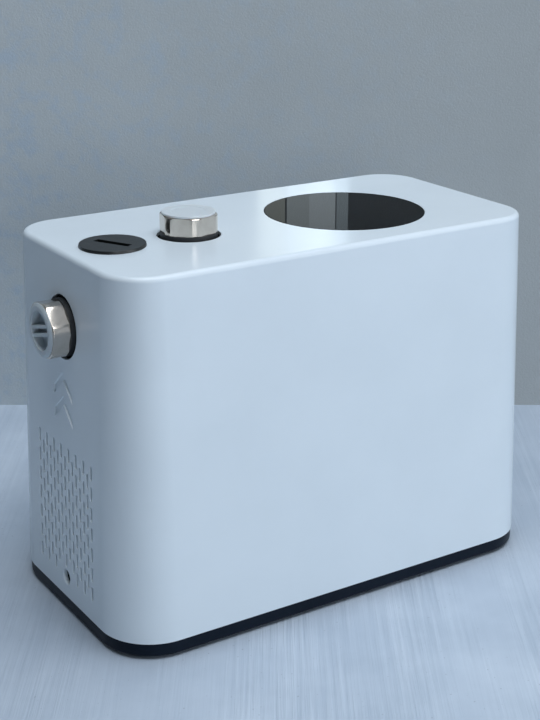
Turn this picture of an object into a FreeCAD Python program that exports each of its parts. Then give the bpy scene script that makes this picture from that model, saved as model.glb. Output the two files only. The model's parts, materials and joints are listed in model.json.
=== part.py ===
"""Compact booster pump: a self-priming multistage pump with a permanent-magnet motor,
its port manifold, pressure tank and speed controller, under a moulded housing.

Units are millimetres. The origin is the middle of the resting face, +Z is up, the suction
port points to -X and the long front face looks to -Y.
"""
import FreeCAD, Part
import math
import os
import Sketcher

# Driving sizes, one sheet cell each
SIZES = {
    # Housing and base
    "front_room": 12.25,
    "rear_room": 47.25,
    "bottom_width": 187.6,
    "bottom_corner": 38.5,
    "draft_angle": 1.967,
    "top_edge": 3.6,
    "wall": 3.0,
    "foot_drop": 2.0,
    "foot_width": 7.0,
    "foot_inset": 9.0,
    "foot_groove": 1.5,
    "tray_side": 10.0,
    "tray_inset": 0.6,
    "tray_edge": 2.0,
    "tray_floor": 4.0,
    "rim_height": 8.0,
    "rim_wall": 2.5,
    "rim_gap": 0.7,
    # Screws that hold the housing to the base, one at each end
    "case_screw_height": 27.3,
    "access_radius": 5.2,
    "access_depth": 10.0,
    "access_wall": 1.5,
    "access_floor": 2.5,
    "case_screw_radius": 2.0,
    "case_screw_head": 4.0,
    "case_screw_head_height": 3.0,
    "case_screw_grip": 9.0,
    "lug_thickness": 8.0,
    "lug_width": 18.0,
    "lug_head": 8.0,
    "lug_room": 2.7,
    # Vent slots and flow chevrons in the end walls
    "slot_length": 10.0,
    "slot_width": 2.7,
    "slot_column_pitch": 11.66,
    "slot_row_pitch": 14.6,
    "slot_columns": 8,
    "slot_rows": 6,
    "last_row_slots": 3,
    "slot_top": 112.8,
    "chevron_height": 157.9,
    "chevron_pitch": 17.1,
    "chevron_half": 13.0,
    "chevron_drop": 10.5,
    "chevron_stroke": 6.8,
    "chevron_depth": 0.9,
    # Display window
    "display_x": 54.0,
    "display_y": -5.0,
    "glass_radius": 57.55,
    "glass_thickness": 3.0,
    "loose_gap": 0.2,
    "window_radius": 52.0,
    "window_ring": 62.0,
    "window_ring_height": 3.0,
    "display_board_radius": 58.0,
    "board_thickness": 1.6,
    "display_module_radius": 40.0,
    "display_module_height": 2.8,
    # Ports
    "outlet_setback": 31.5,
    "outlet_y": -4.7,
    "inlet_rise": 33.0,
    "inlet_drop": 50.5,
    "port_hole": 21.65,
    "neck_radius": 19.6,
    "neck_proud": 2.3,
    "socket_across_flats": 36.4,
    "socket_turned": 19.65,
    "socket_head": 12.3,
    "socket_chamfer": 1.45,
    "socket_shank": 17.5,
    "socket_shank_length": 19.0,
    "thread_bore": 15.145,
    "pilot_radius": 16.8,
    "pilot_depth": 9.0,
    "outlet_flat_turn": -11.0,
    "inlet_flat_turn": 13.0,
    "snug_gap": 0.05,
    "plug_flange": 18.2,
    "plug_flange_height": 1.6,
    "plug_skirt": 8.0,
    "plug_cup_radius": 13.6,
    "plug_cup_depth": 6.5,
    "plug_rib": 1.6,
    "plug_rib_gap": 3.0,
    "grommet_lip": 25.0,
    "grommet_lip_height": 2.0,
    "grommet_sink": 0.5,
    # Priming cap
    "cap_setback": 17.7,
    "cap_y": -4.3,
    "cap_flange": 22.6,
    "cap_face": 21.5,
    "cap_proud": 2.0,
    "cap_barrel": 16.5,
    "cap_depth": 14.0,
    "cap_hollow": 12.5,
    "cap_crown": 6.0,
    "cap_slot_length": 27.5,
    "cap_slot_width": 3.6,
    "cap_slot_depth": 3.2,
    "cap_slot_turn": -62.0,
    "cap_seal_wire": 1.2,
    "cap_seal_drop": 9.0,
    "filler_neck": 21.2,
    # Pump axis and stations along it
    "cover_thickness": 7.0,
    "spigot_length": 30.0,
    "casing_radius": 62.0,
    "casing_bore": 58.0,
    "casing_back": 6.0,
    "stack_gap": 8.0,
    "deck_rise": 6.0,
    "deck_front": -36.0,
    "deck_rear": 30.0,
    "deck_reach": 26.5,
    "suction_bore": 11.0,
    "delivery_bore": 12.0,
    "spigot_wall": 4.0,
    "cover_seal_wire": 1.35,
    "plate_thickness": 4.0,
    "stage_pitch": 24.0,
    "stages": 3,
    "diffuser_radius": 50.0,
    "diffuser_wall": 2.5,
    "web_start": 14.0,
    "web_thickness": 2.0,
    "web_radius": 43.0,
    "web_hole": 11.0,
    "end_plate": 2.0,
    "eye_hole": 19.4,
    "vane_count": 6,
    "vane_thickness": 2.0,
    "vane_sweep": 40.0,
    "impeller_radius": 41.0,
    "eye_radius": 17.0,
    "eye_neck": 19.0,
    "eye_reach": 1.5,
    "shroud_start": 3.0,
    "shroud_thickness": 1.6,
    "passage": 5.0,
    "rear_shroud": 1.8,
    "hub_radius": 9.5,
    "blade_count": 6,
    "blade_thickness": 1.8,
    "blade_sweep": 62.0,
    # Shaft, seal and bearings
    "stub_radius": 6.0,
    "shaft_radius": 7.5,
    "shaft_end_gap": 2.5,
    "shaft_fit": 0.02,
    "shaft_nut_length": 7.0,
    "shaft_nut_flats": 17.0,
    "seal_radius": 13.0,
    "seal_length": 6.8,
    "seal_bore": 15.0,
    "seal_seat_hole": 8.2,
    "bearing_radius": 17.5,
    "bearing_width": 11.0,
    "bearing_wall": 6.5,
    "shaft_hole": 9.0,
    # Motor
    "flange_thickness": 10.0,
    "motor_radius": 56.0,
    "motor_bore": 50.5,
    "front_coil_room": 11.0,
    "rear_coil_room": 14.0,
    "spigot_fit": 0.1,
    "motor_spigot": 4.0,
    "shield_thickness": 8.0,
    "fin_count": 16,
    "fin_height": 4.0,
    "fin_thickness": 2.4,
    "stator_length": 60.0,
    "stator_bore": 28.0,
    "slot_count": 12,
    "tooth_width": 6.2,
    "yoke": 7.5,
    "coil_side": 4.0,
    "coil_overhang": 10.0,
    "magnet_radius": 27.2,
    "magnet_thickness": 3.2,
    # Tie rods
    "rod_radius": 4.0,
    "rod_circle": 67.0,
    "rod_angle": 35.0,
    "ear_radius": 8.0,
    "nut_height": 5.0,
    "rod_proud": 1.5,
    "nut_flats": 13.0,
    # Feet of the pump and its rubber mounts
    "mount_radius": 9.0,
    "mount_height": 10.0,
    "post_height": 10.0,
    "pump_foot_setback": 28.0,
    "motor_foot_setback": 32.0,
    "foot_spread": 36.0,
    "leg_length": 20.0,
    "leg_width": 16.0,
    # Manifold
    "deck_thickness": 8.0,
    "chamber_radius": 25.0,
    "chamber_bore": 18.0,
    "riser_bore": 15.0,
    "riser_stop": 12.5,
    "float_chamber": 31.0,
    "manifold_screw_radius": 2.5,
    "manifold_screw_length": 17.0,
    "screw_inset": 5.0,
    "face_seal_wire": 1.3,
    "face_seal_circle": 15.5,
    # Suction check valve
    "valve_pocket": 17.0,
    "valve_orifice": 12.5,
    "valve_face": 2.5,
    "poppet_radius": 14.0,
    "poppet_thickness": 3.0,
    "poppet_stem": 2.0,
    "valve_lift": 8.0,
    "cage_wall": 2.2,
    "cage_length": 41.2,
    "guide_radius": 4.0,
    "guide_length": 15.0,
    "spring_radius": 6.0,
    "spring_wire": 0.5,
    "spring_coils": 6,
    # Flow float
    "float_disc": 14.5,
    "float_disc_height": 4.0,
    "float_height": 20.0,
    "float_core": 5.0,
    "float_fin": 1.6,
    # Pressure sensor and tank
    "sensor_radius": 5.0,
    "sensor_body": 9.0,
    "sensor_length": 22.0,
    "tank_gap": 4.4,
    "tank_room": 15.9,
    "tank_setback": 48.5,
    "tank_end_room": 22.4,
    "tank_round": 24.0,
    "tank_wall": 1.5,
    "tank_neck": 10.0,
    "tank_neck_length": 14.0,
    "branch_radius": 9.5,
    "branch_bore": 5.5,
    "branch_socket": 13.0,
    "valve_stem": 3.0,
    "cradle_width": 12.0,
    "support_setback": 20.0,
    "saddle_near": -24.0,
    "saddle_far": -46.0,
    "saddle_rise": 12.0,
    # Speed controller
    "controller_setback": 63.5,
    "controller_end_room": 21.2,
    "controller_gap": 14.0,
    "controller_side_gap": 4.2,
    "display_room": 19.9,
    "sink_clearance": 2.0,
    "sink_thickness": 6.0,
    "case_wall": 2.5,
    "standoff": 6.0,
    "board_margin": 2.5,
    "case_corner": 6.0,
    "sink_pad_front": 16.0,
    "sink_pad_width": 30.0,
    "sink_fin_pitch": 9.0,
    "sink_fin_height": 14.0,
    "capacitor_radius": 13.0,
    "capacitor_room": 21.9,
    # Cable gland
    "gland_y": 30.0,
    "gland_rise": 23.0,
    "gland_thread": 8.0,
    "gland_flats": 22.0,
    "gland_flange": 5.0,
    "gland_tail": 12.0,
    "gland_dome": 14.0,
    "cable_hole": 4.0,
    "gland_seal_radius": 6.5,
    # Drain plug
    "drain_height": 56.0,
    "drain_radius": 5.0,
}


class Size:
    """A length or count that carries its value and the sheet formula that gives it."""

    def __init__(self, value, formula):
        self.value = float(value)
        self.formula = formula

    def joined(self, other, sign, value):
        return Size(value, f"({self.formula} {sign} {as_size(other).formula})")

    def __add__(self, other):
        return self.joined(other, "+", self.value + as_size(other).value)

    def __sub__(self, other):
        return self.joined(other, "-", self.value - as_size(other).value)

    def __mul__(self, other):
        return self.joined(other, "*", self.value * as_size(other).value)

    def __truediv__(self, other):
        return self.joined(other, "/", self.value / as_size(other).value)

    def __radd__(self, other):
        return as_size(other) + self

    def __rsub__(self, other):
        return as_size(other) - self

    def __rmul__(self, other):
        return as_size(other) * self

    def __neg__(self):
        return 0 - self


def as_size(amount):
    return amount if isinstance(amount, Size) else Size(amount, f"{amount}")


doc = FreeCAD.newDocument("booster_pump")
sheet = doc.addObject("Spreadsheet::Sheet", "Sizes")


class Sheet:
    """The driving sizes, and the stations that follow from them, by name."""


S = Sheet()
for row, (alias, number) in enumerate(SIZES.items(), start=1):
    sheet.set(f"A{row}", alias)
    sheet.set(f"B{row}", str(number))
    sheet.setAlias(f"B{row}", alias)
    setattr(S, alias, Size(number, f"Sizes.{alias}"))
doc.recompute()

stations = doc.addObject("Spreadsheet::Sheet", "Stations")


def station(name, amount):
    """Keep a size that follows from others in the second sheet, as a formula."""
    row = len(stations.getUsedCells()) // 2 + 1
    stations.set(f"A{row}", name)
    stations.set(f"B{row}", "=" + amount.formula.replace("Stations.", ""))
    stations.setAlias(f"B{row}", name)
    kept = Size(amount.value, f"Stations.{name}")
    setattr(S, name, kept)
    return kept


VECTOR = FreeCAD.Vector
ALONG = {
    "z": FreeCAD.Rotation(),
    "-z": FreeCAD.Rotation(VECTOR(1, 0, 0), 180),
    "x": FreeCAD.Rotation(VECTOR(0, 1, 0), 90),
    "-x": FreeCAD.Rotation(VECTOR(0, 1, 0), -90),
    "y": FreeCAD.Rotation(VECTOR(1, 0, 0), -90),
    "-y": FreeCAD.Rotation(VECTOR(1, 0, 0), 90),
}
ORIGIN = (0, 0, 0)
published = []


def value_of(amount):
    return as_size(amount).value


def bind(thing, name, amount):
    """Give one property its size, as a formula on the sheet."""
    whole = isinstance(getattr(thing, name), int)
    setattr(thing, name, int(value_of(amount)) if whole else value_of(amount))
    if isinstance(amount, Size):
        thing.setExpression(name, amount.formula)


def place(thing, at, along="z", roll=0):
    """Put an object at a point, its own z pointing along an axis, rolled about that z."""
    turn = ALONG[along] * FreeCAD.Rotation(VECTOR(0, 0, 1), value_of(roll))
    thing.Placement = FreeCAD.Placement(VECTOR(*[value_of(n) for n in at]), turn)
    for axis, amount in zip("xyz", at):
        if isinstance(amount, Size):
            thing.setExpression(f"Placement.Base.{axis}", amount.formula)
    return thing


def publish(thing, node):
    """Name an object as a finished piece of the pump."""
    thing.Label = node
    published.append(thing)
    return thing


# Plain solids and booleans
def cylinder(radius, height, at=ORIGIN, along="z"):
    thing = doc.addObject("Part::Cylinder", "Cylinder")
    bind(thing, "Radius", radius)
    bind(thing, "Height", height)
    return place(thing, at, along)


def box(low, high, at=ORIGIN, along="z", roll=0):
    """A block between two corners, given in its own frame."""
    thing = doc.addObject("Part::Box", "Box")
    for side, a, b in zip(("Length", "Width", "Height"), low, high):
        bind(thing, side, as_size(b) - a)
    turn = ALONG[along] * FreeCAD.Rotation(VECTOR(0, 0, 1), value_of(roll))
    corner = list(at)
    for side, amount in zip((VECTOR(1, 0, 0), VECTOR(0, 1, 0), VECTOR(0, 0, 1)), low):
        for index, part in enumerate(turn.multVec(side)):
            if abs(part) > 1e-9:
                corner[index] = as_size(corner[index]) + round(part, 9) * as_size(amount)
    return place(thing, corner, along, roll)


def ring(circle, wire, at=ORIGIN, along="z"):
    thing = doc.addObject("Part::Torus", "Torus")
    bind(thing, "Radius1", circle)
    bind(thing, "Radius2", wire)
    return place(thing, at, along)


def prism(flats, height, at=ORIGIN, along="z", turn=0):
    """A hexagon bar; turn is the angle of one flat's middle."""
    thing = doc.addObject("Part::Prism", "Prism")
    thing.Polygon = 6
    bind(thing, "Circumradius", flats / (2 * math.cos(math.radians(30))))
    bind(thing, "Height", height)
    return place(thing, at, along, as_size(turn) + 30)


def fused(*things):
    thing = doc.addObject("Part::MultiFuse", "Fusion")
    thing.Shapes = list(things)
    return thing


def cut(base, *tools):
    thing = doc.addObject("Part::Cut", "Cut")
    thing.Base = base
    thing.Tool = tools[0] if len(tools) == 1 else fused(*tools)
    return thing


def common(first, second):
    thing = doc.addObject("Part::Common", "Common")
    thing.Base = first
    thing.Tool = second
    return thing


def group(*things):
    thing = doc.addObject("Part::Compound", "Group")
    thing.Links = list(things)
    return thing


def tube(outer, inner, height, at=ORIGIN, along="z"):
    return cut(cylinder(outer, height, at, along), cylinder(inner, height, at, along))


# Sketches and features of a body
def new_body(name):
    return doc.addObject("PartDesign::Body", name)


def new_sketch(body, plane, offset=0, tilt=0):
    sketch = body.newObject("Sketcher::SketchObject", "Sketch")
    base = [f for f in body.Origin.OriginFeatures if f.Role == plane][0]
    sketch.AttachmentSupport = (base, [""])
    sketch.MapMode = "FlatFace"
    lean = FreeCAD.Rotation(VECTOR(1, 0, 0), value_of(tilt))
    sketch.AttachmentOffset = FreeCAD.Placement(VECTOR(0, 0, value_of(offset)), lean)
    if isinstance(offset, Size):
        sketch.setExpression("AttachmentOffset.Base.z", offset.formula)
    if isinstance(tilt, Size):
        sketch.setExpression("AttachmentOffset.Rotation.Angle", tilt.formula)
    return sketch


def fix(sketch, kind, items, amount):
    """One dimension of a sketch, on the sheet where it has a size."""
    index = sketch.addConstraint(Sketcher.Constraint(kind, *items, value_of(amount)))
    if isinstance(amount, Size):
        sketch.setExpression(f"Constraints[{index}]", amount.formula)


def fix_point(sketch, edge, end, point):
    """Hold one point of a sketch by its distances from the sketch's origin."""
    for kind, amount, axis in (
        ("DistanceX", point[0], -2),
        ("DistanceY", point[1], -1),
    ):
        if isinstance(amount, Size) or amount:
            fix(sketch, kind, (-1, 1, edge, end), amount)
        else:
            sketch.addConstraint(Sketcher.Constraint("PointOnObject", edge, end, axis))


def draw_outline(sketch, points):
    """A closed outline of straight edges."""
    first = sketch.GeometryCount
    count = len(points)
    corners = [VECTOR(value_of(x), value_of(y), 0) for x, y in points]
    for index in range(count):
        sketch.addGeometry(
            Part.LineSegment(corners[index], corners[(index + 1) % count])
        )
    for index in range(count):
        after = first + (index + 1) % count
        sketch.addConstraint(
            Sketcher.Constraint("Coincident", first + index, 2, after, 1)
        )
    for index, point in enumerate(points):
        fix_point(sketch, first + index, 1, point)


def draw_circle(sketch, radius, centre=(0, 0)):
    index = sketch.GeometryCount
    middle = VECTOR(value_of(centre[0]), value_of(centre[1]), 0)
    sketch.addGeometry(Part.Circle(middle, VECTOR(0, 0, 1), value_of(radius)))
    fix(sketch, "Radius", (index,), radius)
    fix_point(sketch, index, 3, centre)


def draw_rounded(sketch, length, width, corner):
    """A rectangle about the origin with rounded corners."""
    first = sketch.GeometryCount
    half_x, half_y = length / 2, width / 2
    near_x, near_y = half_x - corner, half_y - corner
    turns = ((1, 1, 0), (-1, 1, 90), (-1, -1, 180), (1, -1, 270))
    for side_x, side_y, start in turns:
        middle = VECTOR(side_x * near_x.value, side_y * near_y.value, 0)
        circle = Part.Circle(middle, VECTOR(0, 0, 1), corner.value)
        begin = math.radians(start)
        sketch.addGeometry(Part.ArcOfCircle(circle, begin, begin + math.pi / 2))
    for index in range(4):
        here = sketch.getPoint(first + index, 2)
        there = sketch.getPoint(first + (index + 1) % 4, 1)
        sketch.addGeometry(Part.LineSegment(here, there))
    for index in range(4):
        after = first + (index + 1) % 4
        line = first + 4 + index
        sketch.addConstraint(
            Sketcher.Constraint("Coincident", first + index, 2, line, 1)
        )
        sketch.addConstraint(Sketcher.Constraint("Coincident", line, 2, after, 1))
    for index, (side_x, side_y, start) in enumerate(turns):
        sides = [(half_x * side_x, near_y * side_y), (near_x * side_x, half_y * side_y)]
        if start in (90, 270):
            sides.reverse()
        fix_point(sketch, first + index, 1, sides[0])
        fix_point(sketch, first + index, 2, sides[1])
        fix(sketch, "Radius", (first + index,), corner)


def pad(body, sketch, length, backwards=False):
    feature = body.newObject("PartDesign::Pad", "Pad")
    feature.Profile = sketch
    bind(feature, "Length", length)
    feature.Reversed = backwards
    return feature


def pocket(body, sketch, length, backwards=False):
    """Cut against the sketch's normal, or along it when backwards."""
    feature = body.newObject("PartDesign::Pocket", "Pocket")
    feature.Profile = sketch
    bind(feature, "Length", length)
    feature.Reversed = backwards
    return feature


def round_edges(body, feature, height, radius):
    """Round every edge that lies in the body's plane at one height."""
    rounding = body.newObject("PartDesign::Fillet", "Fillet")
    rounding.Base = (
        feature,
        [
            f"Edge{index}"
            for index, edge in enumerate(feature.Shape.Edges, start=1)
            if edge.BoundBox.ZLength < 0.01
            and abs(edge.BoundBox.ZMin - height.value) < 0.01
        ],
    )
    bind(rounding, "Radius", radius)
    return rounding


def turn_profile(body, points):
    """Revolve an outline of (radius, height) points about the body's z axis."""
    sketch = new_sketch(body, "XZ_Plane")
    draw_outline(sketch, points)
    feature = body.newObject("PartDesign::Revolution", "Revolution")
    feature.Profile = sketch
    feature.ReferenceAxis = (sketch, ["V_Axis"])
    feature.Angle = 360
    return feature


def turned(points, at=ORIGIN, along="z", name="Turned"):
    body = new_body(name)
    turn_profile(body, points)
    return place(body, at, along)


def repeat_around(body, feature, count):
    pattern = body.newObject("PartDesign::PolarPattern", "PolarPattern")
    pattern.Originals = [feature]
    pattern.Axis = (feature.Profile[0], ["N_Axis"])
    pattern.Angle = 360
    pattern.setExpression("Occurrences", count.formula)
    body.Tip = pattern
    return pattern


# Heights: the unit stands over the screw lugs, and the hood clears what is on top of it
shell_foot = station("shell_foot", S.foot_drop + S.tray_side)
station("lug_top", S.case_screw_height + S.lug_head)
station("axis_height", S.lug_top + S.lug_room + S.casing_radius)
station("casing_top", S.axis_height + S.casing_radius + S.deck_rise)
deck_top = station("deck_top", S.casing_top + S.deck_thickness)
station("inlet_height", deck_top + S.inlet_rise)
shell_top = station("shell_top", S.inlet_height + S.inlet_drop)
station("shell_height", shell_top - shell_foot)
station("board_low", shell_top - S.wall - S.window_ring_height - S.board_thickness)

# Lengths: the pump and motor set the length of the hood round them
boss_end = station("boss_end", S.flange_thickness + S.bearing_width + 1)
shield_depth = station("shield_depth", S.bearing_width + 2)
station(
    "motor_length",
    boss_end
    + S.front_coil_room
    + S.coil_overhang * 2
    + S.stator_length
    + S.rear_coil_room
    + shield_depth,
)
station(
    "pump_length",
    S.cover_thickness
    + S.spigot_length
    + S.plate_thickness
    + S.stage_pitch * S.stages
    + S.stack_gap
    + S.casing_back,
)
rod_length = station(
    "rod_length",
    S.pump_length
    + S.motor_length
    + S.shield_thickness
    + (S.nut_height + S.rod_proud) * 2,
)
half_bottom = station("half_bottom", (rod_length + S.front_room + S.rear_room) / 2)
station("bottom_length", half_bottom * 2)
rod_start = station("rod_start", S.front_room - half_bottom)
station("cover_start", rod_start + S.nut_height + S.rod_proud)
cover_end = station("cover_end", S.cover_start + S.cover_thickness)
station("plate_start", cover_end + S.spigot_length)
stack_start = station("stack_start", S.plate_start + S.plate_thickness)
stack_end = station("stack_end", stack_start + S.stage_pitch * S.stages)
back_wall = station("back_wall", stack_end + S.stack_gap)
station("casing_end", back_wall + S.casing_back)
motor_start = station("motor_start", S.casing_end + S.flange_thickness)
station(
    "stator_start", S.casing_end + boss_end + S.front_coil_room + S.coil_overhang
)
station("motor_end", S.casing_end + S.motor_length)
station("cap_x", cover_end + S.cap_setback)
station("outlet_x", stack_end - S.outlet_setback)
station("deck_right", S.outlet_x + S.deck_reach)
station("pump_foot_x", cover_end + S.pump_foot_setback)
station("motor_foot_x", S.motor_end - S.motor_foot_setback)
station("front_support", motor_start + S.support_setback)
station("rear_support", S.motor_end - S.support_setback)

# The drafted walls, and what stands close to them
lean = station(
    "lean",
    Size(math.tan(math.radians(S.draft_angle.value)), f"tan({S.draft_angle.formula})"),
)


def end_wall(height):
    """How far the end wall's outside stands from the middle at a height over the floor."""
    return half_bottom - lean * (height - shell_foot)


def side_wall(height):
    """The same for the long walls."""
    return S.bottom_width / 2 - lean * (height - shell_foot)


station("tank_floor", S.axis_height + S.motor_radius + S.fin_height)
station("tank_radius", (S.board_low - S.tank_room - S.tank_floor) / 2)
station("tank_height", S.tank_floor + S.tank_radius)
station("tank_y", S.wall + S.tank_gap + S.tank_radius - side_wall(S.tank_height))
station("tank_start", S.outlet_x + S.tank_setback)
station("tank_end", end_wall(S.tank_height) - S.wall - S.tank_end_room)
station("controller_base", S.tank_floor + S.sink_clearance)
station("controller_top", S.board_low - S.display_room)
station("controller_left", S.outlet_x + S.controller_setback)
station(
    "controller_right", end_wall(S.controller_top) - S.wall - S.controller_end_room
)
station("controller_front", S.tank_y + S.tank_radius + S.controller_gap)
station(
    "controller_rear", side_wall(S.controller_top) - S.wall - S.controller_side_gap
)
station("gland_height", S.controller_base + S.gland_rise)


# Housing shell
def make_shell():
    body = new_body("Shell")
    place(body, (0, 0, shell_foot))
    inner_top = S.shell_height - S.wall
    sketch = new_sketch(body, "XY_Plane")
    draw_rounded(sketch, S.bottom_length, S.bottom_width, S.bottom_corner)
    block = pad(body, sketch, S.shell_height)
    doc.recompute()
    sides = [
        f"Face{index}"
        for index, face in enumerate(block.Shape.Faces, start=1)
        if face.BoundBox.ZLength > S.wall.value
    ]
    draft = body.newObject("PartDesign::Draft", "Draft")
    draft.Base = (block, sides)
    draft.NeutralPlane = (sketch.AttachmentSupport[0][0], [""])
    bind(draft, "Angle", S.draft_angle)
    doc.recompute()
    rounding = round_edges(body, draft, S.shell_height, S.top_edge)
    doc.recompute()
    underside = [
        f"Face{index}"
        for index, face in enumerate(rounding.Shape.Faces, start=1)
        if face.BoundBox.ZMax < 1
    ]
    hollow = body.newObject("PartDesign::Thickness", "Wall")
    hollow.Base = (rounding, underside)
    bind(hollow, "Value", S.wall)
    hollow.Reversed = True

    # Ring under the top that carries the display glass, its seat and its window
    display = (S.display_x, S.display_y)
    sketch = new_sketch(body, "XY_Plane", inner_top - S.window_ring_height)
    draw_circle(sketch, S.window_ring, display)
    pad(body, sketch, S.window_ring_height + S.wall / 2)
    for radius, depth in (
        (S.glass_radius + S.loose_gap, S.glass_thickness),
        (S.window_radius, S.wall + S.window_ring_height + 1),
    ):
        sketch = new_sketch(body, "XY_Plane", S.shell_height)
        draw_circle(sketch, radius, display)
        pocket(body, sketch, depth)

    # Holes for the outlet, the priming cap and the inlet
    for centre in ((S.outlet_x, S.outlet_y), (S.cap_x, S.cap_y)):
        sketch = new_sketch(body, "XY_Plane", S.shell_height)
        draw_circle(sketch, S.port_hole, centre)
        pocket(body, sketch, S.wall * 2)
    sketch = new_sketch(body, "YZ_Plane", -half_bottom)
    draw_circle(sketch, S.port_hole, (0, S.inlet_height - shell_foot))
    pocket(body, sketch, S.wall * 6, backwards=True)
    sketch = new_sketch(body, "YZ_Plane", half_bottom)
    draw_circle(
        sketch,
        S.gland_thread + S.loose_gap,
        (S.gland_y, S.gland_height - shell_foot),
    )
    pocket(body, sketch, S.wall * 6)

    # Sunken screw seats at both ends
    seat = (0, S.case_screw_height - shell_foot)
    outside_x = end_wall(S.case_screw_height)
    for side in (-1, 1):
        inner_end = (outside_x - S.access_depth - S.access_floor) * side
        sketch = new_sketch(body, "YZ_Plane", inner_end)
        draw_circle(sketch, S.access_radius + S.access_wall, seat)
        length = S.access_depth + S.access_floor - S.wall / 2
        pad(body, sketch, length, backwards=side < 0)
        sketch = new_sketch(body, "YZ_Plane", (outside_x + S.wall) * side)
        draw_circle(sketch, S.access_radius, seat)
        pocket(body, sketch, S.access_depth + S.wall, backwards=side < 0)
        sketch = new_sketch(body, "YZ_Plane", (outside_x + S.wall) * side)
        draw_circle(sketch, S.case_screw_radius + S.loose_gap, seat)
        depth = S.access_depth + S.access_floor + S.wall * 2
        pocket(body, sketch, depth, backwards=side < 0)

    # Two arrowheads pressed into the inlet end
    for number in range(2):
        sketch = new_sketch(body, "YZ_Plane", -half_bottom, S.draft_angle)
        tip = S.chevron_height - S.chevron_pitch * number
        low = tip - S.chevron_drop
        draw_outline(
            sketch,
            [
                (0, tip),
                (S.chevron_half, low),
                (S.chevron_half, low + S.chevron_stroke),
                (0, tip + S.chevron_stroke),
                (-S.chevron_half, low + S.chevron_stroke),
                (-S.chevron_half, low),
            ],
        )
        pocket(body, sketch, S.chevron_depth, backwards=True)
    return body


def make_slots():
    """Bars for the vent slots of both ends, in two sets of columns half a row apart."""
    body = new_body("SlotBars")
    place(body, (0, 0, shell_foot))
    first_y = -S.slot_column_pitch * (S.slot_columns - 1) / 2

    def grid(start_y, top, columns, rows):
        sketch = new_sketch(body, "YZ_Plane")
        left, right = start_y - S.slot_width / 2, start_y + S.slot_width / 2
        draw_outline(
            sketch,
            [
                (left, top - S.slot_length),
                (right, top - S.slot_length),
                (right, top),
                (left, top),
            ],
        )
        bar = body.newObject("PartDesign::Pad", "Bar")
        bar.Profile = sketch
        bind(bar, "Length", S.bottom_length)
        bar.SideType = "Symmetric"
        across = body.newObject("PartDesign::LinearPattern", "Columns")
        across.Direction = (sketch, ["H_Axis"])
        down = body.newObject("PartDesign::LinearPattern", "Rows")
        down.Direction = (sketch, ["V_Axis"])
        down.Reversed = True
        for pattern, pitch, count in (
            (across, S.slot_column_pitch, columns),
            (down, S.slot_row_pitch, rows),
        ):
            pattern.Mode = "Spacing"
            bind(pattern, "Offset", pitch)
            bind(pattern, "Occurrences", count)
        both = body.newObject("PartDesign::MultiTransform", "Grid")
        both.Originals = [bar]
        both.Transformations = [across, down]
        body.Tip = both

    row_drop = S.slot_row_pitch / 2
    grid(first_y, S.slot_top, S.slot_columns, S.slot_rows)
    grid(
        first_y + S.slot_column_pitch / 2,
        S.slot_top - row_drop,
        S.slot_columns - 1,
        S.slot_rows,
    )
    last_top = S.slot_top - S.slot_row_pitch * S.slot_rows
    grid(first_y, last_top, S.last_row_slots, as_size(1))
    far_y = -first_y - S.slot_column_pitch * (S.last_row_slots - 1)
    grid(far_y, last_top, S.last_row_slots, as_size(1))
    return body


publish(cut(make_shell(), make_slots()), "housing_shell")


# Base tray with its rim, mount posts and screw lugs
post_points = [
    (foot_x, S.foot_spread * side)
    for foot_x in (S.pump_foot_x, S.motor_foot_x)
    for side in (-1, 1)
]
tray_length = S.bottom_length - S.tray_inset * 2
tray_width = S.bottom_width - S.tray_inset * 2
tray_corner = S.bottom_corner - S.tray_inset
lug_face = end_wall(S.case_screw_height) - S.access_depth - S.access_floor


def make_tray():
    body = new_body("Tray")
    place(body, (0, 0, S.foot_drop))
    sketch = new_sketch(body, "XY_Plane")
    draw_rounded(sketch, tray_length, tray_width, tray_corner)
    slab = pad(body, sketch, S.tray_side)
    doc.recompute()
    round_edges(body, slab, as_size(0), S.tray_edge)
    inset = S.wall + S.rim_gap
    for shrink, start, height, cutting in (
        (inset, S.tray_side, S.rim_height, False),
        (
            inset + S.rim_wall,
            S.tray_side + S.rim_height,
            S.tray_side + S.rim_height - S.tray_floor,
            True,
        ),
    ):
        sketch = new_sketch(body, "XY_Plane", start)
        draw_rounded(
            sketch,
            S.bottom_length - shrink * 2,
            S.bottom_width - shrink * 2,
            S.bottom_corner - shrink,
        )
        (pocket if cutting else pad)(body, sketch, height)
    sketch = new_sketch(body, "XY_Plane")
    for shrink in (S.foot_inset, S.foot_inset + S.foot_width):
        draw_rounded(
            sketch,
            tray_length - shrink * 2,
            tray_width - shrink * 2,
            tray_corner - shrink,
        )
    pocket(body, sketch, S.foot_groove, backwards=True)
    sketch = new_sketch(body, "XY_Plane", S.tray_floor)
    for centre in post_points:
        draw_circle(sketch, S.mount_radius + 1, centre)
    pad(body, sketch, S.post_height)
    for side in (-1, 1):
        sketch = new_sketch(body, "XY_Plane", S.tray_floor)
        near, far = (lug_face - S.lug_thickness) * side, lug_face * side
        half = S.lug_width / 2
        draw_outline(sketch, [(near, -half), (far, -half), (far, half), (near, half)])
        pad(body, sketch, S.lug_top - S.foot_drop - S.tray_floor)
        sketch = new_sketch(body, "YZ_Plane", (lug_face + 1) * side)
        draw_circle(
            sketch,
            S.case_screw_radius + S.snug_gap,
            (0, S.case_screw_height - S.foot_drop),
        )
        pocket(body, sketch, S.lug_thickness + 2, backwards=side < 0)
    return body


publish(make_tray(), "base_tray")


def make_foot_strip():
    body = new_body("FootStrip")
    sketch = new_sketch(body, "XY_Plane")
    for shrink in (
        S.foot_inset + S.snug_gap,
        S.foot_inset + S.foot_width - S.snug_gap,
    ):
        draw_rounded(
            sketch,
            tray_length - shrink * 2,
            tray_width - shrink * 2,
            tray_corner - shrink,
        )
    pad(body, sketch, S.foot_drop + S.foot_groove)
    return body


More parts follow.
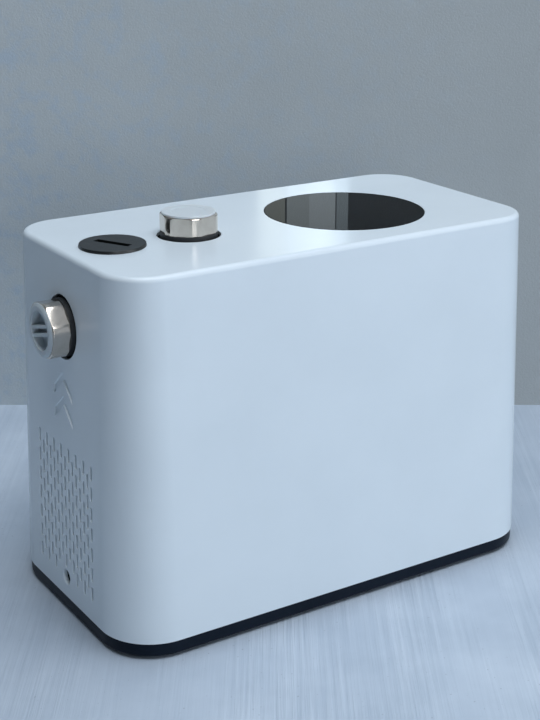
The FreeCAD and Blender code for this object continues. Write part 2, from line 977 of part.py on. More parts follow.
publish(make_foot_strip(), "foot_strip")

# Screws at the two ends that join the housing to the base
seat_x = end_wall(S.case_screw_height) - S.access_depth
case_screws = []
for side, along in ((-1, "x"), (1, "-x")):
    screw = turned(
        [
            (0, -S.case_screw_head_height),
            (S.case_screw_head, -S.case_screw_head_height),
            (S.case_screw_head, 0),
            (S.case_screw_radius, 0),
            (S.case_screw_radius, S.case_screw_grip),
            (0, S.case_screw_grip),
        ],
        (seat_x * side, 0, S.case_screw_height),
        along,
    )
    case_screws.append(screw)
publish(group(*case_screws), "case_screws")

# Display glass and the board behind it
glass_seat = shell_top - S.glass_thickness
publish(
    cylinder(S.glass_radius, S.glass_thickness, (S.display_x, S.display_y, glass_seat)),
    "display_glass",
)
board_at = (S.display_x, S.display_y, S.board_low)
publish(
    fused(
        cylinder(S.display_board_radius, S.board_thickness, board_at),
        cylinder(
            S.display_module_radius,
            S.display_module_height,
            (S.display_x, S.display_y, S.board_low + S.board_thickness),
        ),
    ),
    "display_board",
)


# Port sockets, their transit plugs and the rubber rings round them
def make_socket(mouth, along, flat_turn):
    """A hexagon-headed threaded bush. Its own z points out of the mouth, 0 at the head's seat."""
    head = S.socket_head
    blank = turned(
        [
            (0, 0),
            (S.socket_turned, 0),
            (S.socket_turned, head - S.socket_chamfer),
            (S.socket_turned - S.socket_chamfer, head),
            (0, head),
        ],
        mouth,
        along,
    )
    hexagon = common(
        blank, prism(S.socket_across_flats, head, mouth, along, flat_turn)
    )
    step = {"z": (0, 0, 1), "-x": (-1, 0, 0)}[along]

    def station(depth):
        return [as_size(m) + depth * s if s else m for m, s in zip(mouth, step)]

    shank = cylinder(
        S.socket_shank, S.socket_shank_length, station(-S.socket_shank_length), along
    )
    bore = cylinder(
        S.thread_bore,
        S.socket_shank_length + head,
        station(-S.socket_shank_length),
        along,
    )
    pilot = cylinder(S.pilot_radius, S.pilot_depth, station(head - S.pilot_depth), along)
    return cut(fused(hexagon, shank), bore, pilot)


skirt = S.pilot_radius - S.snug_gap * 2


def make_plug(open_cup):
    """A transit plug: its own z points outwards, 0 at the flange's underside."""
    body = new_body("Plug")
    top = S.plug_flange_height
    rounding = S.plug_rib_gap / 6
    floor = top - S.plug_cup_depth
    if open_cup:
        points = [
            (0, -S.plug_skirt),
            (skirt, -S.plug_skirt),
            (skirt, 0),
            (S.plug_flange, 0),
            (S.plug_flange, top - rounding),
            (S.plug_flange - rounding, top),
            (S.plug_cup_radius, top),
            (S.plug_cup_radius, floor),
            (0, floor),
        ]
    else:
        points = [
            (0, 0),
            (S.plug_cup_radius, 0),
            (S.plug_cup_radius, -S.plug_skirt),
            (skirt, -S.plug_skirt),
            (skirt, 0),
            (S.plug_flange, 0),
            (S.plug_flange, top - rounding),
            (S.plug_flange - rounding, top),
            (0, top),
        ]
    turn_profile(body, points)
    if open_cup:
        for side in (-1, 1):
            sketch = new_sketch(body, "XY_Plane", floor)
            near = S.plug_rib_gap / 2 * side
            far = (S.plug_rib_gap / 2 + S.plug_rib) * side
            reach = S.plug_cup_radius + 0.5
            draw_outline(
                sketch, [(near, -reach), (far, -reach), (far, reach), (near, reach)]
            )
            pad(body, sketch, S.plug_cup_depth - rounding)
    return body


inlet_wall = end_wall(S.inlet_height)
inlet_seat = (-(inlet_wall + S.neck_proud), 0, S.inlet_height)
outlet_seat = (S.outlet_x, S.outlet_y, shell_top + S.neck_proud)
publish(make_socket(inlet_seat, "-x", -S.inlet_flat_turn), "inlet_socket")
publish(make_socket(outlet_seat, "z", S.outlet_flat_turn), "outlet_socket")
publish(
    place(
        make_plug(True),
        (inlet_seat[0] - S.socket_head - S.snug_gap, 0, S.inlet_height),
        "-x",
    ),
    "inlet_plug",
)
publish(
    place(
        make_plug(False),
        (S.outlet_x, S.outlet_y, outlet_seat[2] + S.socket_head + S.snug_gap),
    ),
    "outlet_plug",
)


def make_grommet(at, along, slope):
    """A rubber ring in a port hole; z points out, 0 at the wall's outside."""
    inner, outer = S.neck_radius + S.loose_gap / 2, S.port_hole - S.loose_gap / 2
    lip_top = -(S.wall + S.grommet_lip * slope + S.snug_gap)
    face = -(S.grommet_sink + S.port_hole * slope)
    return turned(
        [
            (inner, lip_top - S.grommet_lip_height),
            (S.grommet_lip, lip_top - S.grommet_lip_height),
            (S.grommet_lip, lip_top),
            (outer, lip_top),
            (outer, face),
            (inner, face),
        ],
        at,
        along,
    )


publish(
    make_grommet((-inlet_wall, 0, S.inlet_height), "-x", lean),
    "inlet_grommet",
)
publish(
    make_grommet((S.outlet_x, S.outlet_y, shell_top), "z", 0),
    "outlet_grommet",
)

# Priming cap and its seal
cap_seat = shell_top + S.snug_gap
groove_floor = S.cap_barrel - S.cap_seal_wire * 2
cap_profile = [
    (0, -S.cap_crown),
    (S.cap_hollow, -S.cap_crown),
    (S.cap_hollow, -S.cap_depth),
    (S.cap_barrel, -S.cap_depth),
    (S.cap_barrel, -S.cap_seal_drop - S.cap_seal_wire - 0.1),
    (groove_floor, -S.cap_seal_drop - S.cap_seal_wire - 0.1),
    (groove_floor, -S.cap_seal_drop + S.cap_seal_wire + 0.1),
    (S.cap_barrel, -S.cap_seal_drop + S.cap_seal_wire + 0.1),
    (S.cap_barrel, 0),
    (S.cap_flange, 0),
    (S.cap_flange, S.cap_proud - (S.cap_flange - S.cap_face)),
    (S.cap_face, S.cap_proud),
    (0, S.cap_proud),
]
cap_blank = turned(cap_profile, (S.cap_x, S.cap_y, cap_seat))
cap_slot = box(
    (-S.cap_slot_length / 2, -S.cap_slot_width / 2, S.cap_proud - S.cap_slot_depth),
    (S.cap_slot_length / 2, S.cap_slot_width / 2, S.cap_proud + 1),
    (S.cap_x, S.cap_y, cap_seat),
    roll=S.cap_slot_turn,
)
publish(cut(cap_blank, cap_slot), "priming_cap")
publish(
    ring(
        S.cap_barrel - S.cap_seal_wire,
        S.cap_seal_wire,
        (S.cap_x, S.cap_y, cap_seat - S.cap_seal_drop),
    ),
    "priming_cap_seal",
)

# Pump casing: barrel, deck for the manifold, legs and back wall
leg_foot = S.foot_drop + S.tray_floor + S.post_height + S.mount_height
suction_port = (S.cap_x, S.cap_y)
delivery_port = (S.outlet_x, S.outlet_y)


def on_axis(x):
    return (x, 0, S.axis_height)


def around_axis(x, circle, degrees):
    """A point on a circle about the pump's axis, the angle counted from +Y towards +Z."""
    angle = math.radians(degrees)
    return (x, circle * math.cos(angle), S.axis_height + circle * math.sin(angle))


def legs(centre_x, top):
    half_x, half_y = S.leg_length / 2, S.leg_width / 2
    return [
        box(
            (centre_x - half_x, S.foot_spread * side - half_y, leg_foot),
            (centre_x + half_x, S.foot_spread * side + half_y, top),
        )
        for side in (-1, 1)
    ]


deck_screws = [
    (x, y)
    for x in (
        cover_end + S.screw_inset,
        (cover_end + S.deck_right) / 2,
        S.deck_right - S.screw_inset,
    )
    for y in (S.deck_front + S.screw_inset, S.deck_rear - S.screw_inset)
]
screw_reach = S.manifold_screw_length - S.deck_thickness
port_foot = S.axis_height + S.casing_bore / 2
seal_groove = S.face_seal_wire * 2 + S.snug_gap
casing_blank = fused(
    cylinder(S.casing_radius, S.casing_end - cover_end, on_axis(cover_end), "x"),
    box(
        (cover_end, S.deck_front, port_foot),
        (S.deck_right, S.deck_rear, S.casing_top),
    ),
    *legs(S.pump_foot_x, S.axis_height - S.casing_bore / 2),
)
casing_hollow = fused(
    cylinder(S.casing_bore, back_wall - cover_end, on_axis(cover_end), "x"),
    cylinder(S.seal_bore, S.casing_back, on_axis(back_wall), "x"),
    cylinder(S.suction_bore, S.casing_top - port_foot, (*suction_port, port_foot)),
    cylinder(S.delivery_bore, S.casing_top - port_foot, (*delivery_port, port_foot)),
    *[
        tube(
            S.face_seal_circle + S.face_seal_wire + S.snug_gap,
            S.face_seal_circle - S.face_seal_wire - S.snug_gap,
            seal_groove,
            (*port, S.casing_top - seal_groove),
        )
        for port in (suction_port, delivery_port)
    ],
    *[
        cylinder(
            S.manifold_screw_radius + S.snug_gap,
            screw_reach + 1,
            (x, y, S.casing_top - screw_reach - 1),
        )
        for x, y in deck_screws
    ],
)
stack_stops = [
    cylinder(
        S.diffuser_wall,
        back_wall - stack_end,
        around_axis(stack_end, S.diffuser_radius - S.diffuser_wall, angle),
        "x",
    )
    for angle in range(30, 390, 60)
]
publish(fused(cut(casing_blank, casing_hollow), *stack_stops), "pump_casing")
publish(
    group(
        *[
            ring(
                S.face_seal_circle,
                S.face_seal_wire,
                (*port, S.casing_top - S.face_seal_wire),
            )
            for port in (suction_port, delivery_port)
        ]
    ),
    "manifold_seals",
)

# Suction cover with its long spigot, its seal and the drain plug
rod_angles = (
    S.rod_angle.value,
    180 - S.rod_angle.value,
    180 + S.rod_angle.value,
    360 - S.rod_angle.value,
)


def eared(base, x, thickness):
    """Add four ears for the tie rods to a round flange and drill them."""
    ears = [
        cylinder(S.ear_radius, thickness, around_axis(x, S.rod_circle, angle), "x")
        for angle in rod_angles
    ]
    holes = [
        cylinder(
            S.rod_radius + S.loose_gap,
            thickness,
            around_axis(x, S.rod_circle, angle),
            "x",
        )
        for angle in rod_angles
    ]
    return cut(fused(base, *ears), *holes)


spigot_radius = S.casing_bore - S.snug_gap * 2
groove_radius = S.casing_bore - S.cover_seal_wire * 2
groove_start = S.cover_thickness + S.cover_seal_wire
cover = turned(
    [
        (0, 0),
        (S.casing_radius, 0),
        (S.casing_radius, S.cover_thickness),
        (spigot_radius, S.cover_thickness),
        (spigot_radius, groove_start),
        (groove_radius, groove_start),
        (groove_radius, groove_start + seal_groove + S.snug_gap),
        (spigot_radius, groove_start + seal_groove + S.snug_gap),
        (spigot_radius, S.cover_thickness + S.spigot_length),
        (spigot_radius - S.spigot_wall, S.cover_thickness + S.spigot_length),
        (spigot_radius - S.spigot_wall, S.cover_thickness),
        (0, S.cover_thickness),
    ],
    on_axis(S.cover_start),
    "x",
)
publish(
    cut(
        eared(cover, S.cover_start, S.cover_thickness),
        cylinder(
            S.suction_bore + 1, S.casing_bore, (*suction_port, S.axis_height + 1)
        ),
        cylinder(
            S.drain_radius + S.snug_gap,
            S.cover_thickness,
            (S.cover_start, 0, S.drain_height),
            "x",
        ),
    ),
    "suction_cover",
)
publish(
    ring(
        S.casing_bore - S.cover_seal_wire,
        S.cover_seal_wire - S.snug_gap * 3,
        on_axis(S.cover_start + groove_start + (seal_groove + S.snug_gap) / 2),
        "x",
    ),
    "cover_seal",
)
publish(
    fused(
        prism(
            S.nut_flats,
            S.nut_height,
            (S.cover_start - S.nut_height, 0, S.drain_height),
            "x",
        ),
        cylinder(
            S.drain_radius,
            S.cover_thickness + 1,
            (S.cover_start, 0, S.drain_height),
            "x",
        ),
    ),
    "drain_plug",
)

# Stage stack: suction plate, then a diffuser and an impeller for each stage
publish(
    tube(spigot_radius, S.eye_hole, S.plate_thickness, on_axis(S.plate_start), "x"),
    "suction_plate",
)


def vane_outline(inner, outer, sweep, thickness, steps=4):
    """A curved vane from one radius to another, its outer end turned back by the sweep."""
    centre = []
    for step in range(steps + 1):
        angle = math.radians(-sweep.value * step / steps)
        radius = inner + (outer - inner) * (step / steps)
        centre.append((radius * math.cos(angle), radius * math.sin(angle)))
    left, right = [], []
    for step, (x, y) in enumerate(centre):
        before, after = centre[max(step - 1, 0)], centre[min(step + 1, steps)]
        run_x, run_y = (after[0] - before[0]).value, (after[1] - before[1]).value
        length = math.hypot(run_x, run_y) * 2
        left.append((x - thickness * (run_y / length), y + thickness * (run_x / length)))
        right.append((x + thickness * (run_y / length), y - thickness * (run_x / length)))
    return left + right[::-1]


bite = S.snug_gap * 4
passage_start = S.shroud_start + S.shroud_thickness
passage_end = passage_start + S.passage


def make_impeller(x):
    body = new_body("Impeller")
    hub = S.stub_radius + S.shaft_fit
    turn_profile(
        body,
        [
            (hub, 0),
            (S.hub_radius, 0),
            (S.hub_radius, passage_end),
            (S.impeller_radius, passage_end),
            (S.impeller_radius, passage_end + S.rear_shroud),
            (S.hub_radius, passage_end + S.rear_shroud),
            (S.hub_radius, S.stage_pitch),
            (hub, S.stage_pitch),
        ],
    )
    sketch = new_sketch(body, "XY_Plane", passage_start - bite)
    start = S.hub_radius + S.blade_thickness * 2
    rim = S.impeller_radius - S.blade_thickness / 2
    draw_outline(sketch, vane_outline(start, rim, S.blade_sweep, S.blade_thickness))
    blade = pad(body, sketch, S.passage + bite * 2)
    repeat_around(body, blade, S.blade_count)
    turn_profile(
        body,
        [
            (S.eye_radius, -S.eye_reach),
            (S.eye_neck, -S.eye_reach),
            (S.eye_neck, S.shroud_start),
            (S.impeller_radius, S.shroud_start),
            (S.impeller_radius, passage_start),
            (S.eye_radius, passage_start),
        ],
    )
    return place(body, on_axis(x), "x")


def make_diffuser(x):
    body = new_body("Diffuser")
    rim_bore = S.diffuser_radius - S.diffuser_wall
    last = S.stage_pitch - S.end_plate
    turn_profile(
        body,
        [
            (S.diffuser_radius, 0),
            (S.diffuser_radius, S.stage_pitch),
            (S.eye_hole, S.stage_pitch),
            (S.eye_hole, last),
            (rim_bore, last),
            (rim_bore, 0),
        ],
    )
    web_end = S.web_start + S.web_thickness
    sketch = new_sketch(body, "XY_Plane", web_end - bite)
    draw_outline(
        sketch,
        vane_outline(
            S.eye_hole + 1, rim_bore + S.snug_gap * 8, -S.vane_sweep, S.vane_thickness
        ),
    )
    vane = pad(body, sketch, last - web_end + bite * 2)
    repeat_around(body, vane, S.vane_count)
    turn_profile(
        body,
        [
            (S.web_hole, S.web_start),
            (S.web_radius, S.web_start),
            (S.web_radius, web_end),
            (S.web_hole, web_end),
        ],
    )
    return place(body, on_axis(x), "x")


for number in range(int(S.stages.value)):
    stage_x = stack_start + S.stage_pitch * number
    publish(make_diffuser(stage_x), f"diffuser_{number + 1}")
    publish(make_impeller(stage_x), f"impeller_{number + 1}")

# Shaft, its nut, the shaft seal and the two bearings
shaft_start = stack_start - S.shaft_nut_length
publish(
    fused(
        cylinder(S.stub_radius, stack_end - shaft_start, on_axis(shaft_start), "x"),
        cylinder(
            S.shaft_radius,
            S.motor_end - S.shaft_end_gap - stack_end,
            on_axis(stack_end),
            "x",
        ),
    ),
    "pump_shaft",
)
publish(
    cut(
        prism(S.shaft_nut_flats, S.shaft_nut_length, on_axis(shaft_start), "x"),
        cylinder(
            S.stub_radius + S.shaft_fit, S.shaft_nut_length, on_axis(shaft_start), "x"
        ),
    ),
    "impeller_nut",
)
on_shaft = S.shaft_radius + S.shaft_fit
publish(
    tube(
        S.seal_radius,
        on_shaft,
        S.seal_length,
        on_axis(back_wall - S.snug_gap - S.seal_length),
        "x",
    ),
    "seal_head",
)
publish(
    tube(
        S.seal_bore - S.snug_gap,
        S.seal_seat_hole,
        S.casing_back,
        on_axis(back_wall),
        "x",
    ),
    "seal_seat",
)


def make_bearing(x):
    """A sealed ball bearing: two rings with a recessed shield on each side."""
    mid_low = on_shaft + (S.bearing_radius - on_shaft) * 0.3
    mid_high = on_shaft + (S.bearing_radius - on_shaft) * 0.7
    dip = S.bearing_width / 12
    return turned(
        [
            (on_shaft, 0),
            (mid_low, 0),
            (mid_low, dip),
            (mid_high, dip),
            (mid_high, 0),
            (S.bearing_radius, 0),
            (S.bearing_radius, S.bearing_width),
            (mid_high, S.bearing_width),
            (mid_high, S.bearing_width - dip),
            (mid_low, S.bearing_width - dip),
            (mid_low, S.bearing_width),
            (on_shaft, S.bearing_width),
        ],
        on_axis(x),
        "x",
        "Bearing",
    )


# Motor flange: closes the casing, centres the motor and holds the front bearing
bearing_seat = S.bearing_radius + S.snug_gap
boss = bearing_seat + S.bearing_wall
spigot_outer = S.motor_bore - S.spigot_fit
motor_flange = turned(
    [
        (S.shaft_hole, 0),
        (S.casing_radius, 0),
        (S.casing_radius, S.flange_thickness),
        (spigot_outer, S.flange_thickness),
        (spigot_outer, S.flange_thickness + S.motor_spigot),
        (spigot_outer - S.spigot_wall, S.flange_thickness + S.motor_spigot),
        (spigot_outer - S.spigot_wall, S.flange_thickness),
        (boss, S.flange_thickness),
        (boss, boss_end),
        (bearing_seat, boss_end),
        (bearing_seat, boss_end - S.bearing_width),
        (S.shaft_hole, boss_end - S.bearing_width),
    ],
    on_axis(S.casing_end),
    "x",
)
publish(eared(motor_flange, S.casing_end, S.flange_thickness), "motor_flange")
publish(make_bearing(S.casing_end + boss_end - S.bearing_width), "front_bearing")

# Motor housing with fins, legs, pads for the heat sink and saddles for the tank
fins = [
    box(
        (S.motor_radius - 1, -S.fin_thickness / 2, S.fin_thickness * 3),
        (
            S.motor_radius + S.fin_height,
            S.fin_thickness / 2,
            S.motor_end - motor_start - S.fin_thickness * 3,
        ),
        on_axis(motor_start),
        "x",
        360 / S.fin_count.value * number,
    )
    for number in range(int(S.fin_count.value))
]
pad_foot = S.axis_height + S.motor_bore / 2
sink_pads = [
    box(
        (x, S.sink_pad_front, pad_foot),
        (x + S.cradle_width, S.sink_pad_front + S.sink_pad_width, S.controller_base),
    )
    for x in (S.front_support, S.rear_support)
]
saddles = [
    box(
        (x, S.saddle_far, pad_foot),
        (x + S.cradle_width, S.saddle_near, S.tank_floor + S.saddle_rise),
    )
    for x in (S.front_support, S.rear_support)
]
tank_span = S.tank_end - S.tank_start
publish(
    cut(
        fused(
            cylinder(
                S.motor_radius, S.motor_end - motor_start, on_axis(motor_start), "x"
            ),
            *fins,
            *legs(S.motor_foot_x, S.axis_height - S.motor_bore / 2),
            *sink_pads,
            *saddles,
        ),
        cylinder(S.motor_bore, S.motor_end - motor_start, on_axis(motor_start), "x"),
        cylinder(
            S.tank_radius + S.snug_gap,
            tank_span,
            (S.tank_start, S.tank_y, S.tank_height),
            "x",
        ),
    ),
    "motor_housing",
)

# Stator: toothed core and its windings
stator_outer = S.motor_bore - S.snug_gap
slot_floor = stator_outer - S.yoke


def sector_block(body, offset, length, near, far, width):
    """A radial block repeated for every stator slot."""
    sketch = new_sketch(body, "XY_Plane", offset)
    draw_outline(
        sketch,
        [
            (near, -width / 2),
            (far, -width / 2),
            (far, width / 2),
            (near, width / 2),
        ],
    )
    return repeat_around(body, pad(body, sketch, length), S.slot_count)


core = new_body("Core")
sketch = new_sketch(core, "XY_Plane")
draw_circle(sketch, stator_outer)
draw_circle(sketch, slot_floor)
pad(core, sketch, S.stator_length)
sector_block(
    core, 0, S.stator_length, S.stator_bore - 1, slot_floor + 1, S.tooth_width
)
sketch = new_sketch(core, "XY_Plane", S.stator_length)
draw_circle(sketch, S.stator_bore)
pocket(core, sketch, S.stator_length)
publish(place(core, on_axis(S.stator_start), "x"), "stator_core")

coil_near = S.stator_bore + S.coil_side
coil_far = slot_floor - S.snug_gap * 4
coil_width = S.tooth_width + S.coil_side * 2
winding = new_body("Winding")
total = S.stator_length + S.coil_overhang * 2
sector_block(winding, 0, total, coil_near, coil_far, coil_width)
sketch = new_sketch(winding, "XY_Plane")
draw_circle(sketch, coil_far)
draw_circle(sketch, coil_far - S.coil_side)
pad(winding, sketch, S.coil_overhang / 2)
teeth = new_body("Teeth")
sector_block(
    teeth,
    0,
    S.stator_length + S.snug_gap * 8,
    coil_near - 1,
    coil_far + 1,
    S.tooth_width + S.loose_gap,
)
place(winding, on_axis(S.stator_start - S.coil_overhang), "x")
place(teeth, on_axis(S.stator_start - S.snug_gap * 4), "x")
coil_room = cylinder(coil_far, total, on_axis(S.stator_start - S.coil_overhang), "x")
publish(cut(common(winding, coil_room), teeth), "stator_windings")

# Rotor: core on the shaft inside a ring magnet
magnet_bore = S.magnet_radius - S.magnet_thickness
publish(
    tube(
        magnet_bore - S.snug_gap,
        on_shaft,
        S.stator_length,
        on_axis(S.stator_start),
        "x",
    ),
    "rotor_core",
)
publish(
    tube(
        S.magnet_radius,
        magnet_bore,
        S.stator_length - 2,
        on_axis(S.stator_start + 1),
        "x",
    ),
    "rotor_magnet",
)

# End shield with the rear bearing
end_shield = turned(
    [
        (0, -2),
        (bearing_seat, -2),
        (bearing_seat, -shield_depth),
        (boss, -shield_depth),
        (boss, 0),
        (spigot_outer - S.spigot_wall, 0),
        (spigot_outer - S.spigot_wall, -S.motor_spigot),
        (spigot_outer, -S.motor_spigot),
        (spigot_outer, 0),
        (S.casing_radius, 0),
        (S.casing_radius, S.shield_thickness),
        (0, S.shield_thickness),
    ],
    on_axis(S.motor_end),
    "x",
)
publish(eared(end_shield, S.motor_end, S.shield_thickness), "motor_end_shield")
publish(make_bearing(S.motor_end - shield_depth), "rear_bearing")

# Tie rods with a nut at each end
rods = []
for angle in rod_angles:
    rods.append(
        fused(
            cylinder(
                S.rod_radius,
                rod_length,
                around_axis(rod_start, S.rod_circle, angle),
                "x",
            ),
            *[
                prism(
                    S.nut_flats,
                    S.nut_height,
                    around_axis(x, S.rod_circle, angle),
                    "x",
                )
                for x in (
                    S.cover_start - S.nut_height,
                    S.motor_end + S.shield_thickness,
                )
            ],
        )
    )
publish(group(*rods), "tie_rods")

# Rubber mounts between the tray's posts and the legs
mount_foot = leg_foot - S.mount_height
publish(
    group(
        *[
            turned(
                [
                    (0, 0),
                    (S.mount_radius, 0),
                    (S.mount_radius - 1.5, S.mount_height / 2),
                    (S.mount_radius, S.mount_height),
                    (0, S.mount_height),
                ],
                (x, y, mount_foot),
            )
            for x, y in post_points
        ]
    ),
    "rubber_mounts",
)

# Port manifold: deck, priming chamber, suction neck, delivery riser and branches
port_end = deck_top - 2
neck_tip = inlet_seat[0]
riser_tip = outlet_seat[2]
neck_bore = S.socket_shank + S.snug_gap
shank_room = S.socket_shank_length + S.snug_gap
float_top = port_end + S.float_chamber
station("sensor_height", (float_top + riser_tip - shank_room) / 2)
cage_start = neck_tip + shank_room
cage_end = cage_start + S.cage_length
branch_elbow = (S.outlet_x, S.tank_y, S.tank_height)
branch_end = S.tank_start - 2
socket_start = branch_end - S.tank_neck_length - 1
sensor_tip = S.outlet_y + S.neck_radius + S.snug_gap * 60
filler_foot = cap_seat - S.cap_depth - 3.5
manifold_blank = fused(
    box(
        (S.cover_start, S.deck_front, S.casing_top),
        (S.deck_right, S.deck_rear, deck_top),
    ),
    cylinder(
        S.chamber_radius,
        shell_top - S.wall - 1 - S.casing_top,
        (*suction_port, S.casing_top),
    ),
    cylinder(
        S.filler_neck, shell_top - 0.1 - S.casing_top, (*suction_port, S.casing_top)
    ),
    cylinder(S.neck_radius, S.cap_x - neck_tip, (neck_tip, 0, S.inlet_height), "x"),
    cylinder(S.neck_radius, riser_tip - S.casing_top, (*delivery_port, S.casing_top)),
    cylinder(
        S.branch_radius,
        S.outlet_y - S.tank_y,
        (S.outlet_x, S.outlet_y, S.tank_height),
        "-y",
    ),
    cylinder(S.branch_radius, S.branch_radius * 2, (
        branch_elbow[0], branch_elbow[1], S.tank_height - S.branch_radius
    )),
    cylinder(S.branch_radius, branch_end - S.outlet_x, branch_elbow, "x"),
    cylinder(
        S.branch_socket,
        branch_end - socket_start,
        (socket_start, S.tank_y, S.tank_height),
        "x",
    ),
    cylinder(
        S.sensor_body,
        sensor_tip - S.outlet_y,
        (S.outlet_x, S.outlet_y, S.sensor_height),
        "y",
    ),
)
manifold_hollow = fused(
    cylinder(S.suction_bore, S.deck_thickness, (*suction_port, S.casing_top)),
    cylinder(S.chamber_bore, filler_foot - port_end, (*suction_port, port_end)),
    cylinder(
        S.cap_barrel + S.snug_gap, cap_seat - filler_foot, (*suction_port, filler_foot)
    ),
    cylinder(neck_bore, shank_room, (neck_tip, 0, S.inlet_height), "x"),
    cylinder(
        S.valve_pocket, cage_end - cage_start, (cage_start, 0, S.inlet_height), "x"
    ),
    cylinder(S.delivery_bore, S.deck_thickness, (*delivery_port, S.casing_top)),
    cylinder(S.riser_bore, S.float_chamber, (*delivery_port, port_end)),
    cylinder(S.riser_stop, riser_tip - float_top, (*delivery_port, float_top)),
    cylinder(neck_bore, shank_room, (*delivery_port, riser_tip - shank_room)),
    cylinder(
        S.branch_bore,
        S.outlet_y - S.tank_y,
        (S.outlet_x, S.outlet_y, S.tank_height),
        "-y",
    ),
    cylinder(S.branch_bore, branch_end - S.outlet_x, branch_elbow, "x"),
    cylinder(
        S.tank_neck + S.snug_gap,
        S.tank_neck_length - 1,
        (branch_end - S.tank_neck_length + 1, S.tank_y, S.tank_height),
        "x",
    ),
    cylinder(
        S.sensor_radius + S.snug_gap,
        sensor_tip - S.outlet_y,
        (S.outlet_x, S.outlet_y, S.sensor_height),
        "y",
    ),
    *[
        cylinder(
            S.manifold_screw_radius + S.loose_gap, S.deck_thickness, (x, y, S.casing_top)
        )
        for x, y in deck_screws
    ],
)
publish(cut(manifold_blank, manifold_hollow), "port_manifold")
screw_head = S.manifold_screw_radius * 1.7
publish(
    group(
        *[
            turned(
                [
                    (0, -S.manifold_screw_length),
                    (S.manifold_screw_radius, -S.manifold_screw_length),
                    (S.manifold_screw_radius, 0),
                    (screw_head, 0),
                    (screw_head, S.manifold_screw_radius * 2),
                    (0, S.manifold_screw_radius * 2),
                ],
                (x, y, deck_top),
            )
            for x, y in deck_screws
        ]
    ),
    "manifold_screws",
)
sensor_foot = S.outlet_y + S.riser_stop + 2
publish(
    fused(
        cylinder(
            S.sensor_radius,
            sensor_tip - sensor_foot,
            (S.outlet_x, sensor_foot, S.sensor_height),
            "y",
        ),
        prism(
            S.sensor_body * 1.8,
            S.nut_height,
            (S.outlet_x, sensor_tip, S.sensor_height),
            "y",
        ),
        cylinder(
            S.sensor_body - 1,
            S.sensor_length,
            (S.outlet_x, sensor_tip, S.sensor_height),
            "y",
        ),
    ),
    "pressure_sensor",
)

# Suction check valve: cage, poppet and spring
cage_outer = S.valve_pocket - S.snug_gap * 2
cage_inner = cage_outer - S.cage_wall
face_x = cage_start + S.valve_face + S.snug_gap
spider_x = cage_end - S.cage_wall - S.snug_gap


def in_valve(x):
    return (x, 0, S.inlet_height)


strut = S.cage_wall * 1.5
cage_blank = fused(
    tube(cage_outer, S.valve_orifice, S.valve_face, in_valve(cage_start + S.snug_gap), "x"),
    common(
        tube(
            cage_outer,
            cage_inner,
            S.cage_length - S.snug_gap * 2,
            in_valve(cage_start + S.snug_gap),
            "x",
        ),
        fused(
            *[
                box(
                    (-S.valve_pocket, -strut, 0),
                    (S.valve_pocket, strut, S.cage_length),
                    in_valve(cage_start),
                    "x",
                    angle,
                )
                for angle in (45, 135)
            ]
        ),
    ),
    tube(cage_outer, cage_inner, S.cage_wall, in_valve(spider_x), "x"),
    *[
        box(
            (-cage_inner - 0.5, -strut / 2, 0),
            (cage_inner + 0.5, strut / 2, S.cage_wall),
            in_valve(spider_x),
            "x",
            angle,
        )
        for angle in (45, 135)
    ],
    cylinder(
        S.guide_radius,
        S.guide_length,
        in_valve(spider_x + S.cage_wall - S.guide_length),
        "x",
    ),
)
publish(
    cut(
        cage_blank,
        cylinder(
            S.poppet_stem + S.loose_gap / 2,
            S.guide_length,
            in_valve(spider_x + S.cage_wall - S.guide_length),
            "x",
        ),
    ),
    "valve_cage",
)
poppet_x = face_x + S.snug_gap
stem_end = spider_x + S.cage_wall - S.valve_lift - 1
publish(
    fused(
        cylinder(S.poppet_radius, S.poppet_thickness, in_valve(poppet_x), "x"),
        cylinder(S.poppet_stem, stem_end - poppet_x, in_valve(poppet_x), "x"),
    ),
    "valve_poppet",
)
coil = new_body("Coil")
spring_start = poppet_x + S.poppet_thickness + S.spring_wire + S.snug_gap
spring_room = spider_x - S.spring_wire - S.snug_gap - spring_start
sketch = new_sketch(coil, "XZ_Plane")
draw_circle(sketch, S.spring_wire, (S.spring_radius, 0))
winding_path = coil.newObject("PartDesign::AdditiveHelix", "Helix")
winding_path.Profile = sketch
winding_path.ReferenceAxis = (sketch, ["V_Axis"])
winding_path.Mode = "pitch-height-angle"
bind(winding_path, "Height", spring_room)
bind(winding_path, "Pitch", spring_room / S.spring_coils)
publish(place(coil, in_valve(spring_start), "x"), "valve_spring")

# Flow float in the delivery riser
float_foot = port_end + S.snug_gap
publish(
    fused(
        cylinder(S.float_disc, S.float_disc_height, (*delivery_port, float_foot)),
        cylinder(S.float_core, S.float_height, (*delivery_port, float_foot)),
        *[
            box(
                (-S.float_disc, -S.float_fin / 2, 0),
                (S.float_disc, S.float_fin / 2, S.float_height),
                (*delivery_port, float_foot),
                roll=angle,
            )
            for angle in (0, 90)
        ],
    ),
    "flow_float",
)


# Pressure tank: domed shell, diaphragm and air valve
def make_capsule(radius, length, rounding):
    body = new_body("Capsule")
    sketch = new_sketch(body, "XY_Plane")
    draw_circle(sketch, radius)
    barrel = pad(body, sketch, length)
    doc.recompute()
    ends = body.newObject("PartDesign::Fillet", "Domes")
    ends.Base = (
        barrel,
        [
            f"Edge{index}"
            for index, edge in enumerate(barrel.Shape.Edges, start=1)
            if edge.BoundBox.ZLength < 0.01
        ],
    )
    bind(ends, "Radius", rounding)
    return body


def on_tank(x):
    return (x, S.tank_y, S.tank_height)


